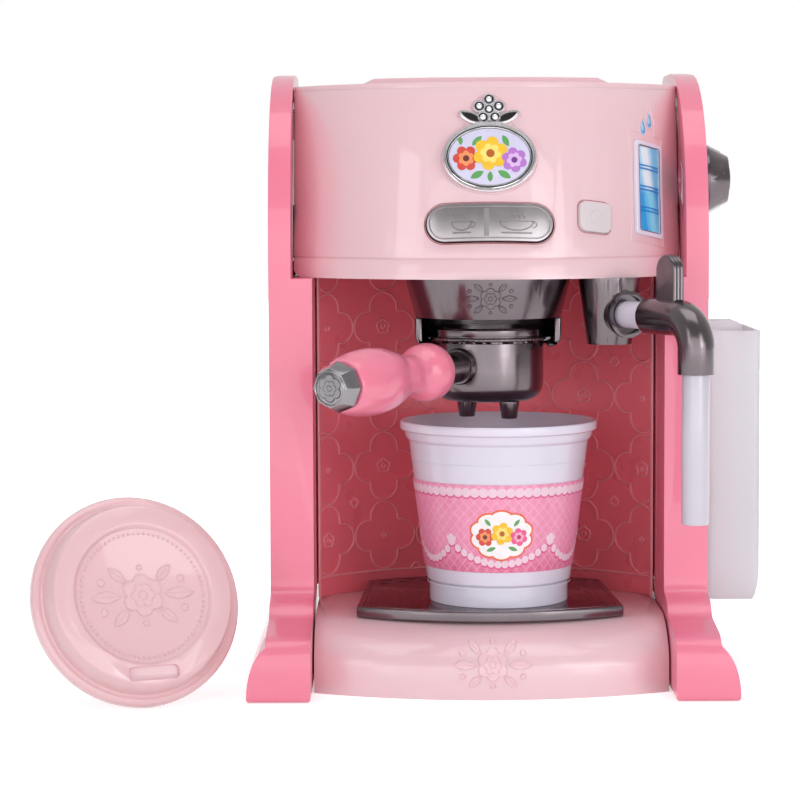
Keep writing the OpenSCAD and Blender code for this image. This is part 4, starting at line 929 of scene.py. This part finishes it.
def plate_material():
    """Dark silver paint with fine lines from front to back."""
    n = Nodes("tray_plate")
    lines = n.noise(900, 1, (1, 0.01, 1))
    n.link(n.ramp(lines, srgb(96, 88, 92), srgb(120, 111, 115), 0.3, 0.7), "Base Color")
    n.rough(0.14, 0.2)
    n.bump(lines, 0.12, 0.0002)
    n.set(Metallic=1.0, Coat_Weight=0.3, Coat_Roughness=0.08, IOR=1.5)
    return n.material


def tray():
    skin("drip_tray", 0.8)
    skin("tray_grille", 0.2, 2, material=plate_material())


# ---- Cup and its printed band ----

CUP_RINGS = ((63.7, 39.06), (8.6, 32.0))    # height above the foot, and radius
BAND_SLOPE = 0.1285     # how much its radius grows for each millimetre up
BAND_MEAN = 0.95        # share of its upper radius at which its print is true to size
BAND_TURNS = (0, 120, 240)      # its print comes three times round
RIM_STEP = 6            # degrees between the pearls along its upper edge
# Strings of pearls: from and to in degrees, how far they hang, and how many pearls
SWAGS = ((-38, 38, 9.4, 15), (38, 82, 8.6, 10))
SWAG_Y = 13.2
KNOTS = (-38, 38)       # where the strings meet
KNOT_Y = 14.4
PLAQUE_Y = 16.8
PLAQUE_R, PLAQUE_WIDE = 11.2, 1.32       # half its height, and its width as a share of its height
PLAQUE_FLOWERS = ((-7.4, PLAQUE_Y - 0.8, 4.2, "bloom_red"), (0.2, PLAQUE_Y + 0.8, 5.0, "bloom_gold"),
                  (7.8, PLAQUE_Y - 0.8, 4.0, "bloom_pink"))
PLAQUE_LEAVES = ((-2.6, PLAQUE_Y - 5.4, 4.6, 1.8, 200), (3.0, PLAQUE_Y - 5.2, 4.6, 1.8, -20),
                 (-4.8, PLAQUE_Y + 4.2, 4.0, 1.6, 130), (5.4, PLAQUE_Y + 4.0, 4.0, 1.6, 50))


def band_material():
    """Pink print with a fine diagonal lattice, darker towards its lower edge."""
    n = Nodes("sleeve_print")
    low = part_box("cup_sleeve")[0]
    centre = middle_of("cup_sleeve")
    parts = n.add("ShaderNodeSeparateXYZ", {"Vector": n.place})
    x = n.math("SUBTRACT", parts.outputs["X"], centre.x)
    y = n.math("SUBTRACT", parts.outputs["Y"], centre.y)
    turn = n.math("MULTIPLY", n.math("ARCTAN2", x, y), 48 / math.tau)
    up = n.math("MULTIPLY", parts.outputs["Z"], 200.0)
    rising, falling = [
        n.math("LESS_THAN", n.math("PINGPONG", n.math(operation, turn, up), 0.5), 0.06)
        for operation in ("ADD", "SUBTRACT")]
    lines = n.math("MAXIMUM", rising, falling)
    level = n.add("ShaderNodeMapRange", {"Value": parts.outputs["Z"], "From Min": low.z,
                                         "From Max": low.z + 12 * MM}).outputs[0]
    ground = n.ramp(level, srgb(218, 84, 134), srgb(232, 128, 168), 0.2, 0.9)
    lace = n.mix(n.math("MULTIPLY", n.noise(420, 3), 0.5), ground, srgb(246, 190, 214))
    n.link(n.mix(n.math("MULTIPLY", lines, 0.5), lace, srgb(246, 186, 210)), "Base Color")
    n.rough(0.32, 0.38, 200)
    n.set(Coat_Weight=0.2, Coat_Roughness=0.15, IOR=1.48)
    return n.material


def cup():
    """The cup with two rings, and its band with pearls, knots and a plaque."""
    skin("cup", 0.8)
    skin("cup_sleeve", 0.1, 2, material=band_material())
    low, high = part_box("cup_sleeve")
    centre = middle_of("cup_sleeve")
    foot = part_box("cup")[0].z
    bm = bmesh.new()
    for height, r in CUP_RINGS:
        ridge(bm, circle_path(0, 0, r, 128), level_at(centre, foot + height * MM), 0.3, 0.3)
    make("cup_rings", bm, "cup")

    r_high = (high.x - low.x) / 2
    span = (high.z - low.z) / MM
    degree = math.tau * r_high * BAND_MEAN / MM / 360       # along the band, in millimetres

    def wrap(x, y, h):
        """x along the band, y up from its lower edge."""
        r = r_high - (span - y) * MM * BAND_SLOPE + h * MM
        a = x * MM / (r_high * BAND_MEAN)
        return Vector((centre.x + r * math.sin(a), centre.y - r * math.cos(a), low.z + y * MM))

    rim = [(angle * degree, span - 3.4) for angle in range(0, 360, RIM_STEP)]
    strings = [((turn + start + (end - start) * i / count) * degree,
                SWAG_Y - drop * math.sin(math.pi * i / count) ** 0.8)
               for start, end, drop, count in SWAGS for turn in BAND_TURNS for i in range(count)]
    # Each pearl with its radius, its shade's radius and drop, and the number of its corners
    pearls = [(x, y, 2.12, 2.35, 0.5, 16) for x, y in rim] + [(x, y, 1.7, 2.1, 0.4, 14) for x, y in strings]
    bm = bmesh.new()
    for x, y, _, r, drop, corners in pearls:
        decal(bm, circle_path(x, y - drop, r, corners), wrap, 0.07, (x, y - drop), 1)
    make("sleeve_shades", bm, "cup_sleeve", ink("sleeve_shade", srgb(222, 92, 142)))
    bm = bmesh.new()
    for x, y, r, _, _, corners in pearls:
        decal(bm, circle_path(x, y, r, corners), wrap, 0.1, (x, y), 1)
    for turn in BAND_TURNS:
        for knot in KNOTS:
            x = (turn + knot) * degree
            decal(bm, bloom_path(x, KNOT_Y, 2.7, 5, 0.3, n=40), wrap, 0.14, (x, KNOT_Y), 1)
    make("sleeve_pearls", bm, "cup_sleeve", ink("pearl", srgb(240, 208, 224)))
    plaque(wrap)


def plaque(wrap):
    """A white scalloped label with an orange line and three flowers."""
    def scallop(k):
        return [(k * x * PLAQUE_WIDE, PLAQUE_Y + k * y)
                for x, y in bloom_path(0, 0, PLAQUE_R, 10, 0.1, 90, 120)]
    bm = bmesh.new()
    decal(bm, scallop(1.0), wrap, 0.16, (0, PLAQUE_Y), 6)
    make("plaque_ground", bm, "cup_sleeve", ink("plaque_white", srgb(250, 246, 248)))
    raised = flat_at(wrap, 0.14)
    bm = bmesh.new()
    ridge(bm, dense(scallop(0.98), 1.0), raised, 0.9, 0.12, sink=0.5)
    make("plaque_line", bm, "cup_sleeve", ink("plaque_orange", srgb(238, 110, 58)))
    blooms(raised, "plaque", "cup_sleeve", PLAQUE_FLOWERS, PLAQUE_LEAVES)


# ---- Cup lid, leaning beside the machine ----

LID_X, LID_Y = -154, -75        # the middle of its rim
LID_R, LID_H = 46, 15
LID_EDGE = 0.6          # bevel on which it stands
LID_SINK = 1.8          # depth of the disc in its plateau
LID_EMBLEM_W = 45
LID_BEADS, LID_BEADS_R = 75, 27
SIP, SIP_Y = (22.0, 6.0, 2.4), -34      # width, height, corner radius and place of the sip hole's line of painted shade
LID_LEAN = math.radians(22)
LID_TURN = math.radians(24)


def lid():
    # Painted shade: the lid is the housing's light pink plastic, drawn darker because its face tilts up into
    # the lamps.
    colour = srgb(230, 190, 195)
    relief = moulded("lid_relief_painted_shade", colour, soft=0.0)
    skin("cup_lid", 0.4, material=moulded("lid_pink_painted_shade", colour))
    z = LID_R * math.cos(LID_LEAN) - LID_EDGE * math.sin(LID_LEAN)
    rim = on_plane(Matrix.Translation((LID_X * MM, LID_Y * MM, z * MM)) @ Matrix.Rotation(LID_TURN, 4, "Z")
                   @ Matrix.Rotation(math.pi / 2 - LID_LEAN, 4, "X"))
    plateau = flat_at(rim, LID_H)
    disc = flat_at(plateau, -LID_SINK)
    bm = bmesh.new()
    embossed(bm, LID_EMBLEM_W, disc, 0.9, 0.6)
    make("lid_emblem", bm, "cup_lid", relief)
    bm = bmesh.new()
    for x, y in circle_path(0, 0, LID_BEADS_R, LID_BEADS):
        bead(bm, disc(x, y, 0.1), 0.65, 8, 6)
    make("lid_beads", bm, "cup_lid", relief)
    bm = bmesh.new()
    # A darker pink line of painted shade round the sip hole's recess.
    ridge(bm, dense(soft_rect_path(*SIP, 0, SIP_Y), 1.0), plateau, 0.5, 0.08)
    make("lid_recess", bm, "cup_lid", moulded("lid_recess_shade", srgb(222, 168, 177), soft=0.0))


# ---- Tank and what lies inside or behind ----

def tank():
    skin("water_tank", 1.0)
    skin("tank_rail", 0.4)


def inside_and_back():
    """CAD nodes that keep their shape: they show only from behind, from below or through gaps."""
    for node in ("rear_screws", "bottom_screws", "knob_screw", "power_switch", "speaker", "brew_head_nut",
                 "steam_head_nut", "circuit_board", "battery_cells", "battery_contacts",
                 "rocker_springs", "light_spring"):
        slots = frame["nodes"][node].data.materials
        slots.clear()
        slots.append(MATERIALS[SLOT_OF[node]])


# ---- Studio ----

# Name, place, what it points at, width and height in metres, and watts
LAMPS = (
    ("overhead", (0.0, -0.3, 1.6), (0, 0, 0.1), (1.4, 0.9), 6),
    ("front", (0.0, -1.8, 0.42), (0, 0, 0.18), (2.6, 0.86), 10.5),
    ("fill_left", (-1.3, -1.5, 0.3), (0, 0, 0.2), (1.0, 0.6), 1.6),
    ("fill_right", (1.3, -1.5, 0.3), (0, 0, 0.16), (1.0, 0.6), 3.4),
    ("left", (-0.97, -1.05, 0.62), (0, 0, 0.5), (0.3, 0.66), 1.3),
    ("right", (0.78, -1.2, 0.58), (0, 0, 0.5), (0.5, 0.66), 2.5),
)
CAMERA = (-39.4, -1180, 218)            # millimetres
CAMERA_LENS, CAMERA_SENSOR = 117.0, 36.0
CAMERA_PITCH = 4.6      # degrees down from level
CAMERA_ROLL = -0.25


def studio():
    """A plain pale floor, soft lights in front and at the sides, and a weak one overhead."""
    bm = bmesh.new()
    bmesh.ops.create_grid(bm, x_segments=1, y_segments=1, size=4.0)
    floor = new_object("floor", bm)
    floor.data.materials.append(floor_material())
    for name, place, aim, size, watts in LAMPS:
        light = bpy.data.lights.new(name, "AREA")
        light.shape = "RECTANGLE"
        light.size, light.size_y = size
        light.energy = watts
        lamp = bpy.data.objects.new(name, light)
        lamp.location = place
        lamp.rotation_euler = (Vector(aim) - Vector(place)).to_track_quat("-Z", "Y").to_euler()
        bpy.context.scene.collection.objects.link(lamp)
    studio_world()


def floor_material():
    """A pale floor that shows as white where no shadow falls on it."""
    n = Nodes("floor")
    n.link(n.ramp(n.noise(3, 2), (0.9, 0.9, 0.9, 1), (0.93, 0.93, 0.93, 1)), "Base Color")
    n.set(Roughness=0.7)
    path = n.add("ShaderNodeLightPath").outputs
    seen = n.math("MAXIMUM", path["Is Camera Ray"], n.math("MAXIMUM", path["Is Glossy Ray"],
                                                            path["Is Transmission Ray"]))
    along = n.add("ShaderNodeSeparateXYZ", {"Vector": n.place}).outputs["Y"]
    share = n.add("ShaderNodeMapRange", {"Value": along, "From Min": 0.3, "From Max": 1.3,
                                         "To Min": 0.5, "To Max": 1.0}).outputs[0]
    glow = n.add("ShaderNodeEmission", {"Color": (1, 1, 1, 1), "Strength": n.math("MULTIPLY", seen, share)})
    both = n.add("ShaderNodeAddShader", {0: n.shader.outputs[0], 1: glow.outputs[0]})
    n.tree.links.new(both.outputs[0], n.tree.nodes["Material Output"].inputs["Surface"])
    return n.material


def studio_world():
    """White to the camera; for the rest a dim room in front and a bright one behind."""
    world = bpy.data.worlds.new("studio")
    world.use_nodes = True
    bpy.context.scene.world = world
    tree = world.node_tree
    new, join = tree.nodes.new, tree.links.new
    background = tree.nodes["Background"]
    parts = new("ShaderNodeSeparateXYZ")
    join(new("ShaderNodeTexCoord").outputs["Generated"], parts.inputs["Vector"])
    room = new("ShaderNodeMapRange")
    join(parts.outputs["Y"], room.inputs["Value"])
    for name, value in (("From Min", -0.6), ("From Max", 0.8), ("To Min", 0.36), ("To Max", 0.8)):
        room.inputs[name].default_value = value
    strength = new("ShaderNodeMath")
    strength.operation = "MAXIMUM"
    join(room.outputs["Result"], strength.inputs[0])
    join(new("ShaderNodeLightPath").outputs["Is Camera Ray"], strength.inputs[1])
    background.inputs["Color"].default_value = (1, 1, 1, 1)
    join(strength.outputs[0], background.inputs["Strength"])


def camera():
    data = bpy.data.cameras.new("camera")
    data.sensor_width = CAMERA_SENSOR
    data.lens = CAMERA_LENS
    eye = bpy.data.objects.new("camera", data)
    eye.matrix_world = (Matrix.Translation([c * MM for c in CAMERA])
                        @ Matrix.Rotation(math.radians(90 - CAMERA_PITCH), 4, "X")
                        @ Matrix.Rotation(math.radians(CAMERA_ROLL), 4, "Z"))
    bpy.context.scene.collection.objects.link(eye)
    bpy.context.scene.camera = eye
    bpy.context.scene.view_settings.view_transform = "Standard"


camera()
back_wall()
head()
badge()
controls()
gauge()
knob()
brew_group()
handle()
steam()
base()
tray()
cup()
lid()
tank()
inside_and_back()
studio()
